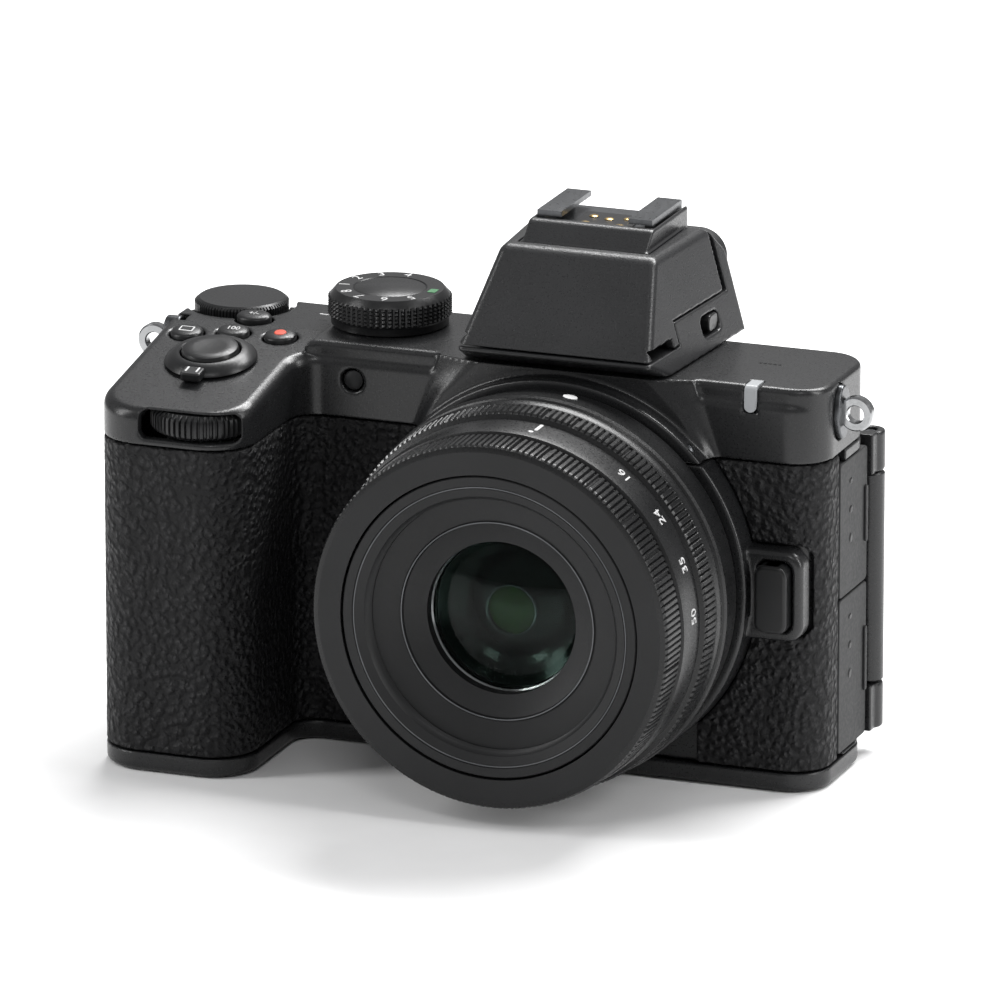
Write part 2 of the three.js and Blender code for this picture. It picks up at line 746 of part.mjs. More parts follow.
function viewfinderHousing() {
  const base = bodyTop + gap;
  const flashRoom = prismX(flashSide(gap), -40, 40);
  const wellHalf = flash.armInner - gap;
  const well = box(-wellHalf, wellHalf, flash.armStep, hump.rear, base, hump.top - 0.05);
  const crossSweep = crossPin(flash.pivotY, flash.pivotZ, flash.crossRadius - gap, -40, 40, ringSides);
  const centre = humpBlock().intersect(well).intersect(crossSweep);
  const e = eyepiece;
  const eyeBlock = box(-e.half, e.half, body.rear + gap, hump.rear, e.bottom, e.top - 4);
  let housing = join(join(humpBlock(), eyeBlock).subtract(flashRoom), centre, shoePlinth());
  const s = shoe;
  const slot = box(-s.half - gap, s.half + gap, s.front - gap, plinth.rear + 5, s.floor - gap, s.top + 3);
  const tunnel = box(-e.windowHalf, e.windowHalf, 2, hump.rear + 1, e.windowBottom, e.windowTop);
  const half = flash.armInner - 2.2;
  const inside = box(-half, half, 0, hump.rear - 3, base - 1, e.windowTop + 2);
  housing = cut(housing, slot, tunnel, inside, releaseSliderSlot(gap), diopterSocket(gap));
  return cut(housing, crossPin(flash.pivotY, flash.pivotZ, 1.2 + gap, -40, -flash.armInner + 3));
}

function hotShoe() {
  const s = shoe;
  const floorTop = s.floor + shoeFloorThickness;
  const channel = box(-s.half, s.half, s.front, s.rear, s.floor, s.top);
  const foot = box(-s.slotHalf, s.slotHalf, s.front - 1, s.rear + 1, floorTop, s.top - s.lip);
  const mouth = box(-s.lipHalf, s.lipHalf, s.front - 1, s.rear + 1, floorTop, s.top + 1);
  return cut(channel, foot, mouth);
}

// The flash head: the hump's front panel and two arms that run back beside the shoe.
function flashHead() {
  const side = prismX(flashSide(0), -40, 40);
  const f = flash;
  const centreSweep = crossPin(f.pivotY, f.pivotZ, f.crossRadius, -f.armInner, f.armInner, ringSides);
  const inner = humpBlock(flashWall).intersect(
    box(-40, 40, hump.chinY, flash.armStep + 30, hump.chinTop - 1, hump.top - flashWall),
  );
  const low = hump.chinTop - 1;
  const behind = box(-flash.armInner, flash.armInner, plinth.front - gap, 40, low, hump.top + 9);
  const w = flashWindow;
  const z = hump.chinTop;
  const windowBay = box(-40, 40, hump.chinY + flashWall, w.rear + gap, z - 1, z + w.thickness + gap);
  return cut(humpBlock().intersect(side), centreSweep, behind, inner, windowBay);
}

function flashWindowPiece() {
  const w = flashWindow;
  const z0 = hump.chinTop;
  return box(-w.half, w.half, hump.chinY + flashWall + gap + 0.6, w.rear, z0 + 0.1, z0 + w.thickness);
}

function sideOfHump(y, z) {
  const alongY = (y - hump.chinY) / (hump.rear - hump.chinY);
  const low = THREE.MathUtils.lerp(hump.halfBottomFront, hump.halfBottomRear, alongY);
  const lean = (hump.halfBottomRear - hump.halfTopRear) / (hump.top - hump.rearTopDrop - bodyTop);
  return low - Math.max(z - bodyTop, 0) * lean;
}

function releaseSliderSlot(extra) {
  const s = slider;
  const x0 = sideOfHump(s.y, s.z) - s.depth - extra;
  const halfY = s.slotHalfY + extra;
  const halfZ = s.halfZ + extra;
  return box(x0, x0 + 8, s.y - halfY, s.y + halfY, s.z - halfZ, s.z + halfZ);
}

function flashRelease() {
  const s = slider;
  const x = sideOfHump(s.y, s.z);
  const y0 = s.y + s.slotHalfY - 2 * s.halfY;
  const shape = rectangle(y0, y0 + 2 * s.halfY, s.z - s.halfZ, s.z + s.halfZ, 1.2);
  return prismX(shape, x - s.depth, x + s.stand);
}

function diopterSocket(extra) {
  const x = sideOfHump(diopter.y, diopter.z);
  return crossPin(diopter.y, diopter.z, diopter.radius + extra, -x - 5, -x + diopter.length - 1 + extra);
}

function diopterDial() {
  const x = sideOfHump(diopter.y, diopter.z);
  return crossPin(diopter.y, diopter.z, diopter.radius, -x - 1, -x + diopter.length - 1, knobSides);
}

function eyecup() {
  const e = eyepiece;
  const y0 = hump.rear + gap;
  const outer = rectangle(-e.half, e.half, e.bottom + 1, e.top, 5);
  const ring = prismY(outer, y0, eyecupRear);
  const holeHalf = e.half - eyecupWall;
  const hole = rectangle(-holeHalf, holeHalf, e.bottom + 1 + eyecupWall, e.top - eyecupWall, 3);
  return cut(ring, prismY(hole, y0 - 1, eyecupRear + 1));
}

function eyepieceLens() {
  const e = eyepiece;
  return prismY(
    rectangle(-e.windowHalf + gap, e.windowHalf - gap, e.windowBottom + gap, e.windowTop - gap, 2),
    hump.rear - 2,
    hump.rear - 0.4,
  );
}

// ---------------------------------------------------------------- dials and buttons

function modeDialPiece() {
  const d = modeDial;
  const z0 = bodyTop + gap;
  const profile = [
    [0, z0], [d.radius - 0.6, z0], [d.radius - 0.6, z0 + 1], [d.radius, z0 + 1.2],
    [d.radius, z0 + d.height - 1], [d.radius - 0.9, z0 + d.height], [0, z0 + d.height],
  ];
  const knob = toSolid(turned(profile, knobSides).rotateX(Math.PI / 2).translate(d.x, d.y, 0));
  return join(knob, post(d.x, d.y, 3, bodyTop - 3, z0 + 1, buttonSides));
}

function rearDialPiece() {
  const d = rearDial;
  const z0 = d.top - d.height;
  const profile = [
    [0, z0], [d.radius, z0], [d.radius, d.top - 0.5], [d.radius - 0.6, d.top], [0, d.top],
  ];
  const knob = toSolid(turned(profile, knobSides).rotateX(Math.PI / 2).translate(d.x, d.y, 0));
  return join(knob, post(d.x, d.y, 2, z0 - 4, z0 + 1, buttonSides));
}

function frontDialPiece() {
  const d = frontDial;
  return post(d.x, d.y, d.radius, d.bottom, d.bottom + d.height, ringSides);
}

function topButton(button) {
  return buttonShaft(button, 0, -buttonDepth, buttonStand);
}

function shutterProfile() {
  const r = shutter.radius;
  const top = shutter.stand;
  const low = -shutter.depth;
  const profile = [[0, low], [r, low], [r, top - 0.7], [r - 0.8, top - 0.15], [r - 2.4, top], [0, top]];
  return turned(profile, buttonSides);
}

function powerRing() {
  const r = shutter.ringRadius;
  const inner = shutter.radius + gap;
  const h = shutter.ringHeight;
  const ring = turned([[inner, gap], [r, gap], [r - 0.9, h], [inner, h + 0.5], [inner, gap]], knobSides);
  const lever = new THREE.BoxGeometry(3.6, 3.2, h - gap + 0.5);
  const tip = toSolid(lever.translate(0, -r - 0.4, (h + gap) / 2 + 0.25));
  return join(toSolid(ring.rotateX(Math.PI / 2)), tip);
}

function rearButton(b) {
  return stud(b.x, b.z, b.radius, body.rear - wall - 0.4, body.rear + 0.9);
}

function rockerPad() {
  const s = selector;
  const y0 = body.rear - 0.7;
  const y1 = body.rear + 1.2;
  const pad = stud(s.x, s.z, s.radius, y0, y1, knobSides);
  return pad.subtract(stud(s.x, s.z, s.okRadius + gap, y0 - 1, y1 + 1));
}

function okButton() {
  return stud(selector.x, selector.z, selector.okRadius, body.rear - wall - 0.4, body.rear + 1.5);
}

// ---------------------------------------------------------------- side and front fittings

function releaseSlot(extra) {
  const r = release;
  const z0 = axisHeight - r.halfZ - extra;
  const z1 = axisHeight + r.halfZ + extra;
  const shape = rectangle(r.x - r.halfX - extra, r.x + r.halfX + extra, z0, z1, 2);
  return prismY(shape, r.front - 2, body.front + wall + 5);
}

function releasePinHole() {
  return stud(releasePin.x, axisHeight, releasePin.radius + gap, -flangeFocal - 1, body.front);
}

// The button and its lock pin, joined by a bar behind the casing.
function lensRelease() {
  const r = release;
  const p = releasePin;
  const barFront = body.front + wall + gap;
  const barRear = barFront + 1.5;
  const keyShape = rectangle(r.x - r.halfX, r.x + r.halfX, axisHeight - r.halfZ, axisHeight + r.halfZ, 1.7);
  const key = prismY(keyShape, r.front, barRear);
  const pin = stud(p.x, axisHeight, p.radius, -flangeFocal + gap, barRear);
  const bar = box(p.x, r.x, barFront, barRear, axisHeight - 1, axisHeight + 1);
  return join(key, pin, bar);
}

function portRecess(extra, front) {
  const p = port;
  const x0 = body.right - p.thickness - extra;
  const z1 = p.top + extra;
  const y0 = p.front - (front ? extra : 0);
  return box(x0, body.right + 5, y0, p.rear + extra, p.bottom - extra, z1);
}

function portCover(low, high) {
  const p = port;
  const cover = box(body.right - p.thickness, body.right, p.front, p.rear, low, high);
  return cover.intersect(prismZ(bodyPlan(), low - 1, high + 1));
}

function lugRecess(side) {
  const x = side > 0 ? body.right : body.left;
  const oval = ellipse(lug.y, lug.z, lug.bossHalfY + gap, lug.bossHalfZ + gap);
  const inner = x - side * wall * 1.5;
  const outer = x + side * 3;
  return prismX(oval, Math.min(inner, outer), Math.max(inner, outer), 10);
}

function strapLug(side) {
  const x = side > 0 ? body.right : body.left;
  const inner = x - side * wall;
  const outer = x + side * 0.9;
  const oval = ellipse(lug.y, lug.z, lug.bossHalfY, lug.bossHalfZ);
  const boss = prismX(oval, Math.min(inner, outer), Math.max(inner, outer), 10);
  const centre = x + side * lug.reach;
  const eye = stud(centre, lug.z, lug.radius, lug.y - lug.thickness / 2, lug.y + lug.thickness / 2);
  const half = lug.thickness / 2;
  const neckStart = Math.min(x, centre);
  const neck = box(neckStart, neckStart + lug.reach, lug.y - half, lug.y + half, lug.z - 2.4, lug.z + 2.4);
  return cut(join(boss, eye, neck), stud(centre, lug.z, lug.hole, lug.y - 5, lug.y + 5));
}

function tallyLight() {
  return tallySlot(0).intersect(box(-90, 90, body.front, 20, 0, bodyTop));
}

function tripodSocket() {
  const t = tripod;
  return post(0, t.y, t.radius, 0, t.height).subtract(post(0, t.y, t.boreRadius, -1, t.height - 1));
}

function hingePin() {
  return post(hinge.x, hinge.y, hinge.pin, hinge.bottom + 1.5, hinge.top - 0.4, buttonSides);
}

function monitorFrame() {
  const m = monitor;
  const right = hinge.x - hinge.radius - 0.4;
  const panel = prismY(rectangle(m.left, right, m.bottom, m.top, m.corner), m.front, m.rear);
  const arm = post(hinge.x, hinge.y, hinge.radius, hinge.armBottom, hinge.armTop);
  const web = box(right - 2, hinge.x, hinge.y - 1.2, m.rear, hinge.armBottom, hinge.armTop);
  const b = monitorGlass.border;
  const pane = prismY(
    rectangle(m.left + b - gap, right - b + gap, m.bottom + b - gap, m.top - b + gap, 1),
    m.rear - monitorGlass.thickness - gap,
    m.rear + 1,
  );
  return cut(join(panel, web, arm), pane, post(hinge.x, hinge.y, hinge.pin + gap, 0, 80, buttonSides));
}

function monitorGlassPane() {
  const m = monitor;
  const b = monitorGlass.border;
  const right = hinge.x - hinge.radius - 0.4 - b;
  return prismY(
    rectangle(m.left + b, right, m.bottom + b, m.top - b, 1),
    m.rear - monitorGlass.thickness,
    m.rear - 0.1,
  );
}

// ---------------------------------------------------------------- inside the body

function sensorUnit() {
  const s = sensor;
  const plate = gateBlock(s.halfX, s.halfZ, s.front, s.rear);
  const window = gateBlock(s.glassHalfX, s.glassHalfZ, s.front - 1, s.front + 0.8);
  return cut(plate, window);
}

function shutterFrame() {
  const s = shutterUnit;
  const plate = gateBlock(s.halfX, s.halfZ, s.front, s.rear);
  const gate = gateBlock(s.gateHalfX, s.gateHalfZ, s.front - 1, s.rear + 1);
  return cut(plate, gate);
}

function chassisPlate() {
  const c = chassis;
  const plate = block(c);
  const window = gateBlock(sensor.glassHalfX, sensor.glassHalfZ, 0, c.rear + 1);
  const ears = [-1, 1].map((side) => {
    const x = side * (shutterUnit.halfX + 3);
    return box(x - 1.5, x + 1.5, shutterUnit.rear, c.front + 1, axisHeight - 12, axisHeight + 12);
  });
  return cut(join(plate, ...ears), window);
}

function mountRing() {
  const y0 = -flangeFocal;
  const y1 = y0 + mountThickness;
  const ring = tube(mountRadius, throatRadius, y0, y1);
  const tabs = [0, 1, 2].map((i) => {
    const angle = (i / 3) * 2 * Math.PI + Math.PI / 2;
    const block = new THREE.BoxGeometry(2.4, 1.2, 13);
    block.translate(throatRadius - 0.6, y0 + 1.4, 0).rotateY(angle).translate(0, 0, axisHeight);
    return toSolid(block).intersect(tube(mountRadius, throatRadius - 1.2, y0, y1));
  });
  return join(ring, ...tabs).subtract(releasePinHole());
}

function contactBlock() {
  const r = throatRadius - 2.2;
  const y0 = -flangeFocal + bayonetReach + gap;
  const arc = tube(r + 1.9, r - 1.6, y0, y0 + 3, ringSides);
  return arc.intersect(box(-11, 11, y0, y0 + 3, axisHeight - r - 3, axisHeight - r + 5));
}

// ---------------------------------------------------------------- lens

const lensFront = -flangeFocal - lensLength;
const barrelFront = -flangeFocal - fixedBarrelLength;
const controlRear = lensFront + controlRingLength;

// The fixed barrel: rear skirt, the sleeve that the rings turn on, and the bayonet.
function lensBarrel() {
  const y0 = -flangeFocal - gap;
  const sleeveInner = sleeveRadius - sleeveWall;
  const bayonetRadius = throatRadius - 1.7;
  const profile = [
    [bayonetRadius - 2, -flangeFocal + bayonetReach], [bayonetRadius, -flangeFocal + bayonetReach],
    [bayonetRadius, y0],
    [lensRearRadius, y0], [lensMaxRadius, barrelFront + 1], [lensMaxRadius - 0.6, barrelFront],
    [sleeveRadius, barrelFront], [sleeveRadius, lensFront + 2], [sleeveInner, lensFront + 2],
    [sleeveInner, y0 - 4], [bayonetRadius - 2, y0 - 4],
  ];
  const tabs = [0, 1, 2].map((i) => {
    const angle = ((i + 0.5) / 3) * 2 * Math.PI + Math.PI / 2;
    const block = new THREE.BoxGeometry(2.2, 1.2, 12);
    block.translate(bayonetRadius - 0.1, -flangeFocal + 3.8, 0).rotateY(angle).translate(0, 0, axisHeight);
    const band = tube(throatRadius - gap, bayonetRadius - 1, -flangeFocal + 3, -flangeFocal + 5);
    return toSolid(block).intersect(band);
  });
  return join(turnedOnAxis(profile), ...tabs);
}

// Evenly spaced finger grooves cut into a band of a ring.
function grooved(ring, count, radius, y0, y1) {
  const depth = knurlDepth;
  const width = ((2 * Math.PI * radius) / count) * 0.45;
  let tools = null;
  for (let i = 0; i < count; i += 1) {
    const block = new THREE.BoxGeometry(2 * depth, y1 - y0, width);
    block.translate(radius, (y0 + y1) / 2, 0).rotateY((i / count) * 2 * Math.PI).translate(0, 0, axisHeight);
    tools = tools ? tools.add(toSolid(block)) : toSolid(block);
  }
  return ring.subtract(tools);
}

function zoomRing() {
  const y0 = controlRear + gap;
  const y1 = barrelFront - gap;
  const inner = sleeveRadius + gap;
  const bandFront = y0 + 7.4;
  const profile = [
    [inner, y0], [lensFrontRadius - 0.3, y0], [lensFrontRadius, y0 + 0.4], [lensFrontRadius + 0.9, bandFront],
    [lensFrontRadius + 1.6, bandFront + 0.4], [lensFrontRadius + 1.9, y1 - 1.8],
    [lensMaxRadius - 0.6, y1 - 1.2],
    [lensMaxRadius - 0.6, y1], [inner, y1],
  ];
  return grooved(turnedOnAxis(profile), 22, lensFrontRadius + 1.9, bandFront + 0.8, y1 - 2.2);
}

function controlRing() {
  const inner = sleeveRadius + gap;
  const lip = innerBarrelRadius + gap;
  const profile = [
    [lip, lensFront], [lensFrontRadius - 1, lensFront], [lensFrontRadius - 0.2, lensFront + 0.9],
    [lensFrontRadius, controlRear], [inner, controlRear], [inner, lensFront + 1.7], [lip, lensFront + 1.7],
  ];
  return grooved(turnedOnAxis(profile), 22, lensFrontRadius, lensFront + 1.4, controlRear - 0.6);
}

// The inner barrel slides forward; its front is a funnel down to the first glass.
function innerBarrel() {
  const r = innerBarrelRadius;
  const back = -flangeFocal - 5.4;
  const front = lensFront + 0.2;
  const seat = glassRadius + gap;
  const profile = [
    [r - innerBarrelWall, back], [r, back], [r, front], [filterRadius + 1.2, front],
    [filterRadius, front + 1.4], [filterRadius, front + 2.6], [glassRadius + 4, front + 4.6],
    [seat, front + 6.2], [seat, front + 12], [r - innerBarrelWall, front + 12],
  ];
  return turnedOnAxis(profile);
}

function frontGlass() {
  const y = lensFront + 7.2;
  return turnedOnAxis([
    [0, y], [glassRadius * 0.4, y + 0.35], [glassRadius * 0.75, y + 1.2], [glassRadius, y + 2.3],
    [glassRadius, y + 4.6], [0, y + 4.6],
  ], knobSides);
}

function rearGlass() {
  const y = -flangeFocal - 3.6;
  const seat = throatRadius - 1.7 - 2 - gap;
  return turnedOnAxis([
    [0, y], [rearGlassRadius, y], [seat, y + 0.4], [seat, y + 4], [rearGlassRadius, y + 4.4], [0, y + 5.6],
  ], knobSides);
}

// ---------------------------------------------------------------- assembly

const camera = new THREE.Group();

function addPiece(name, solid, material, parent = camera) {
  const mesh = new THREE.Mesh(toGeometry(solid), material);
  mesh.name = name;
  parent.add(mesh);
  return mesh;
}

addPiece("chassis", chassisPlate(), magnesium());
addPiece("front_shell", frontShell(), satinBlack());
addPiece("rear_shell", rearShell(), satinBlack());
addPiece("top_cover", topCover(), satinBlack());
addPiece("bottom_plate", bottomPlate(), satinBlack());
addPiece("grip_rubber", gripRubber(), leatherBlack());
addPiece("front_leather", frontLeather(), leatherBlack());
addPiece("thumb_rest", thumbRestPiece(), leatherBlack());
addPiece("viewfinder_housing", viewfinderHousing(), satinBlack());
addPiece("hot_shoe", hotShoe(), steel());
addPiece("eyecup", eyecup(), rubberBlack());
addPiece("eyepiece_lens", eyepieceLens(), clearTint());
addPiece("mount_ring", mountRing(), chrome());
addPiece("contact_block", contactBlock(), knobBlack());
addPiece("sensor_unit", sensorUnit(), boardGreen());
addPiece("shutter_unit", shutterFrame(), knobBlack());
addPiece("main_board", block(mainBoard), boardGreen());
addPiece("tripod_socket", tripodSocket(), steel());
addPiece("battery", block(battery), packGrey());
addPiece("memory_card", block(card), packGrey());
addPiece("strap_lug_left", strapLug(-1), chrome());
addPiece("strap_lug_right", strapLug(1), chrome());
addPiece("tally_light", tallyLight(), lampMilk());
const lampRod = stud(focusLamp.x, focusLamp.z, focusLamp.radius, body.front, body.front + wall);
addPiece("focus_lamp", lampRod, glassTint());
addPiece("monitor_hinge_pin", hingePin(), steel());

for (const [name, button] of Object.entries(topButtons)) {
  addPiece(name, placed(topButton(button), onSlope(button.x, button.y)), knobBlack());
}
const exposurePlace = onSlope(exposureButton.x, exposureButton.y);
addPiece("exposure_button", placed(topButton(exposureButton), exposurePlace), knobBlack());
const shutterPlace = onSlope(shutter.x, shutter.y);
addPiece("shutter_button", placed(shutterProfile().rotateX(Math.PI / 2), shutterPlace), knobBlack());
const powerSwitch = addPiece("power_switch", powerRing(), knobBlack());
powerSwitch.applyMatrix4(shutterPlace);
addPiece("mode_dial", modeDialPiece(), knobBlack());
addPiece("rear_dial", rearDialPiece(), knobBlack());
addPiece("front_dial", frontDialPiece(), knobBlack());
addPiece("flash_head", flashHead(), satinBlack());
addPiece("flash_window", flashWindowPiece(), clearTint());
addPiece("flash_release", flashRelease(), knobBlack());
addPiece("diopter_dial", diopterDial(), knobBlack());
addPiece("multi_selector", rockerPad(), knobBlack());
addPiece("ok_button", okButton(), knobBlack());
for (const [name, button] of Object.entries(rearButtons)) {
  addPiece(name, rearButton(button), knobBlack());
}
addPiece("lens_release", lensRelease(), knobBlack());
addPiece("upper_port_cover", portCover(port.split + gap / 2, port.top), rubberBlack());
addPiece("lower_port_cover", portCover(port.bottom, port.split - gap / 2), rubberBlack());
addPiece("battery_door", batteryDoorPiece(), satinBlack());
addPiece("monitor_frame", monitorFrame(), satinBlack());
addPiece("monitor_glass", monitorGlassPane(), glassTint());

const lens = new THREE.Group();
camera.add(lens);
addPiece("lens_barrel", lensBarrel(), lensBlack(), lens);
addPiece("zoom_ring", zoomRing(), lensBlack(), lens);
addPiece("control_ring", controlRing(), lensBlack(), lens);
addPiece("inner_barrel", innerBarrel(), lensBlack(), lens);
addPiece("front_glass", frontGlass(), glassTint(), lens);
addPiece("rear_glass", rearGlass(), glassTint(), lens);

export default camera;
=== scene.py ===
# A compact interchangeable-lens camera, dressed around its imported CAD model.
# Lengths are in millimetres until a mesh is made. Places come from the CAD boxes where a CAD piece
# sets them; the other numbers are the shapes and details of this model itself.
import functools
import json
import math
import bmesh
import bpy
import numpy as np
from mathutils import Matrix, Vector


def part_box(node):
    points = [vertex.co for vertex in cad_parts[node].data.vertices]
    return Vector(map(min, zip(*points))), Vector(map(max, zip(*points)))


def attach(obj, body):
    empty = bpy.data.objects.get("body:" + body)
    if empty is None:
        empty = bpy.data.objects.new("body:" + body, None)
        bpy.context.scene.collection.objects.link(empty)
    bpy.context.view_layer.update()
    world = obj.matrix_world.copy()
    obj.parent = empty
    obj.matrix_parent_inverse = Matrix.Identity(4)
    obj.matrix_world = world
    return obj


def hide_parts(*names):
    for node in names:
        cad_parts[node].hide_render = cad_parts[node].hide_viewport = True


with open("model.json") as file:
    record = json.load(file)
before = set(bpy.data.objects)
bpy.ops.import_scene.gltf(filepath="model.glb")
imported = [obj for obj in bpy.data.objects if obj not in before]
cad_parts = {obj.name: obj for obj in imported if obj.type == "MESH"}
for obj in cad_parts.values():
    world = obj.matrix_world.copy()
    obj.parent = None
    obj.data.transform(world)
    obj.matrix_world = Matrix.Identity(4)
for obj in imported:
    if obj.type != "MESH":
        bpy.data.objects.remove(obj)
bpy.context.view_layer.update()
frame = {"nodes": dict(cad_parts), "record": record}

import openvdb
from mathutils import Matrix, Vector

MM = 0.001
BODY = "body"
STEP = 0.32  # grid of the moulded shells


# ---- places from the frame


def limits(node):
    """The lowest and highest corner of a CAD node, in millimetres."""
    lo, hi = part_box(node)
    return np.array(lo) / MM, np.array(hi) / MM


PLATE_LO, PLATE_HI = limits("bottom_plate")
TOP_LO, TOP_HI = limits("top_cover")
MOUNT_LO, MOUNT_HI = limits("mount_ring")
LEFT, RIGHT = PLATE_LO[0], PLATE_HI[0]
GRIP_FRONT, REAR = PLATE_LO[1], PLATE_HI[1]
BODY_FRONT = limits("front_leather")[0][1]
BASE_TOP = PLATE_HI[2]
SEAM_LOW, SEAM_HIGH = limits("grip_rubber")[1][2], TOP_LO[2]
SHOULDER = TOP_HI[2]
GAP = SEAM_HIGH - SEAM_LOW
AXIS_Z = (MOUNT_LO[2] + MOUNT_HI[2]) / 2
COLLAR = 35.4
COLLAR_FRONT = MOUNT_LO[1] + 0.6
WALL = 2.0
GRIP_RIGHT, GRIP_ROOT = -49.8, -47.8
SLOPE = 0.17
GRIP_TOP = 72.4
SLOPE_ANGLE = math.atan(SLOPE)
SCREWS = ((-44, 12), (42, 12), (42, -5), (-30, 12), (24, -5), (-44, -5))  # places in the base, x and y
HINGE_LOW, HINGE_HIGH = 12.8, 51.0  # ends of the monitor's hinge arm


def slope_height(y):
    return GRIP_TOP + SLOPE * min(y, 0.0)


def centre(node):
    lo, hi = limits(node)
    return (lo + hi) / 2


def half_width(node):
    lo, hi = limits(node)
    return (hi[0] - lo[0]) / 2


# ---- materials


def new_material(name):
    material = bpy.data.materials.new(name)
    material.use_nodes = True
    tree = material.node_tree
    return material, tree, tree.nodes["Principled BSDF"]


def put(node, **values):
    """Sets a node's sockets; an underscore stands for a space in a socket's name."""
    for key, value in values.items():
        node.inputs[key.replace("_", " ")].default_value = value


def texture(tree, kind, scale, **settings):
    """A pattern node in object space, at so many features a metre."""
    place = tree.nodes.new("ShaderNodeTexCoord")
    node = tree.nodes.new(kind)
    tree.links.new(place.outputs["Object"], node.inputs["Vector"])
    put(node, Scale=scale, **settings)
    return node


def spread(tree, source, low, high):
    node = tree.nodes.new("ShaderNodeMapRange")
    put(node, From_Min=0.3, From_Max=0.7, To_Min=low, To_Max=high)
    tree.links.new(source, node.inputs["Value"])
    return node.outputs["Result"]


def tint(tree, factor, dark, light):
    ramp = tree.nodes.new("ShaderNodeValToRGB")
    ramp.color_ramp.elements[0].position = 0.3
    ramp.color_ramp.elements[1].position = 0.7
    ramp.color_ramp.elements[0].color = (*dark, 1)
    ramp.color_ramp.elements[1].color = (*light, 1)
    tree.links.new(factor, ramp.inputs["Fac"])
    return ramp.outputs["Color"]


def bump(tree, shader, height, strength, distance, under=None):
    node = tree.nodes.new("ShaderNodeBump")
    put(node, Strength=strength, Distance=distance)
    tree.links.new(height, node.inputs["Height"])
    if under:
        tree.links.new(under.outputs["Normal"], node.inputs["Normal"])
    tree.links.new(node.outputs["Normal"], shader.inputs["Normal"])
    return node


def moulded(name, dark, light, rough, grain=2600, depth=0.00002, metal=0.0, spec=0.5):
    """Moulded or painted surface: slow colour drift, fine grain, uneven sheen."""
    material, tree, shader = new_material(name)
    drift = texture(tree, "ShaderNodeTexNoise", 60, Detail=3.0)
    fine = texture(tree, "ShaderNodeTexNoise", grain, Detail=2.0)
    tree.links.new(tint(tree, drift.outputs["Fac"], dark, light), shader.inputs["Base Color"])
    sheen = spread(tree, fine.outputs["Fac"], rough - 0.05, rough + 0.06)
    tree.links.new(sheen, shader.inputs["Roughness"])
    put(shader, Metallic=metal, Specular_IOR_Level=spec)
    bump(tree, shader, fine.outputs["Fac"], 0.5, depth)
    return material


def leather(name):
    """Rubber moulded with a leather grain: warped round pebbles of about 1.2 mm under a finer noise, the
    crevices between the pebbles painted darker as painted shade.
    """
    material, tree, shader = new_material(name)
    warp = texture(tree, "ShaderNodeTexNoise", 700, Detail=3.0)
    place = tree.nodes.new("ShaderNodeTexCoord")
    shift = tree.nodes.new("ShaderNodeVectorMath")
    shift.operation = "MULTIPLY_ADD"
    shift.inputs[1].default_value = (0.0011,) * 3
    tree.links.new(warp.outputs["Color"], shift.inputs[0])
    tree.links.new(place.outputs["Object"], shift.inputs[2])
    cells = tree.nodes.new("ShaderNodeTexVoronoi")
    cells.feature = "SMOOTH_F1"
    put(cells, Scale=820, Smoothness=0.55)
    tree.links.new(shift.outputs["Vector"], cells.inputs["Vector"])
    pebble = tree.nodes.new("ShaderNodeMapRange")
    put(pebble, From_Max=0.75, To_Min=1.0, To_Max=0.0)
    tree.links.new(cells.outputs["Distance"], pebble.inputs["Value"])
    # The colour follows the pebble height: crevices are painted darker and tops lighter, a painted shade in
    # the grain.
    colour = tint(tree, pebble.outputs["Result"], (0.0035, 0.0035, 0.004), (0.0085, 0.0085, 0.0093))
    tree.links.new(colour, shader.inputs["Base Color"])
    tree.links.new(spread(tree, pebble.outputs["Result"], 0.66, 0.44), shader.inputs["Roughness"])
    put(shader, Specular_IOR_Level=0.27)
    low = bump(tree, shader, pebble.outputs["Result"], 1.0, 0.0008)
    fine = texture(tree, "ShaderNodeTexNoise", 2300, Detail=3.0)
    bump(tree, shader, fine.outputs["Fac"], 0.7, 0.0002, low)
    return material


def coated_glass(name, colour, rough=0.02, clear=0.0):
    """Optical glass with a coating tint; its base colour is painted lighter towards the rim, a painted rim
    sheen.
    """
    material, tree, shader = new_material(name)
    # Face on the tint is dimmed and at grazing angles it is full: a painted sheen at the rim, not a change of
    # hue.
    edge = tree.nodes.new("ShaderNodeLayerWeight")
    edge.inputs["Blend"].default_value = 0.35
    dim = tuple(c * 0.35 for c in colour)
    tree.links.new(tint(tree, edge.outputs["Facing"], dim, colour), shader.inputs["Base Color"])
    put(shader, Roughness=rough, IOR=1.18 if clear else 1.5)
    put(shader, Coat_Weight=0.0 if clear else 0.3, Transmission_Weight=clear)
    return material


SATIN = moulded("satin_shell", (0.0085, 0.0087, 0.0092), (0.0125, 0.0128, 0.0135), 0.3, spec=0.42)
HUMP = moulded(
    "speckled_shell", (0.010, 0.0103, 0.011), (0.0155, 0.0158, 0.0168), 0.31, 3400, 0.00006, spec=0.5
)
KNOB = moulded("control_plastic", (0.0065, 0.0067, 0.0071), (0.0100, 0.0102, 0.0108), 0.33, spec=0.34)
LENS = moulded("lens_black", (0.0058, 0.0059, 0.0062), (0.0085, 0.0087, 0.0091), 0.3, spec=0.33)
LENS_FACE = moulded("lens_face", (0.0085, 0.0087, 0.0091), (0.0118, 0.012, 0.0126), 0.46, spec=0.28)
RIM = moulded("glass_rim", (0.22, 0.23, 0.235), (0.34, 0.35, 0.355), 0.2, 1500, 0.000005, 1.0)
RUBBER = moulded("smooth_rubber", (0.008, 0.0082, 0.0088), (0.012, 0.0124, 0.013), 0.55, 1800, spec=0.3)
LEATHER = leather("grained_rubber")
CHROME = moulded("plated_metal", (0.30, 0.305, 0.31), (0.44, 0.445, 0.45), 0.2, 1500, 0.000005, 1.0)
STEEL = moulded("shoe_metal", (0.075, 0.078, 0.082), (0.12, 0.123, 0.128), 0.32, 1500, 0.00001, 1.0)
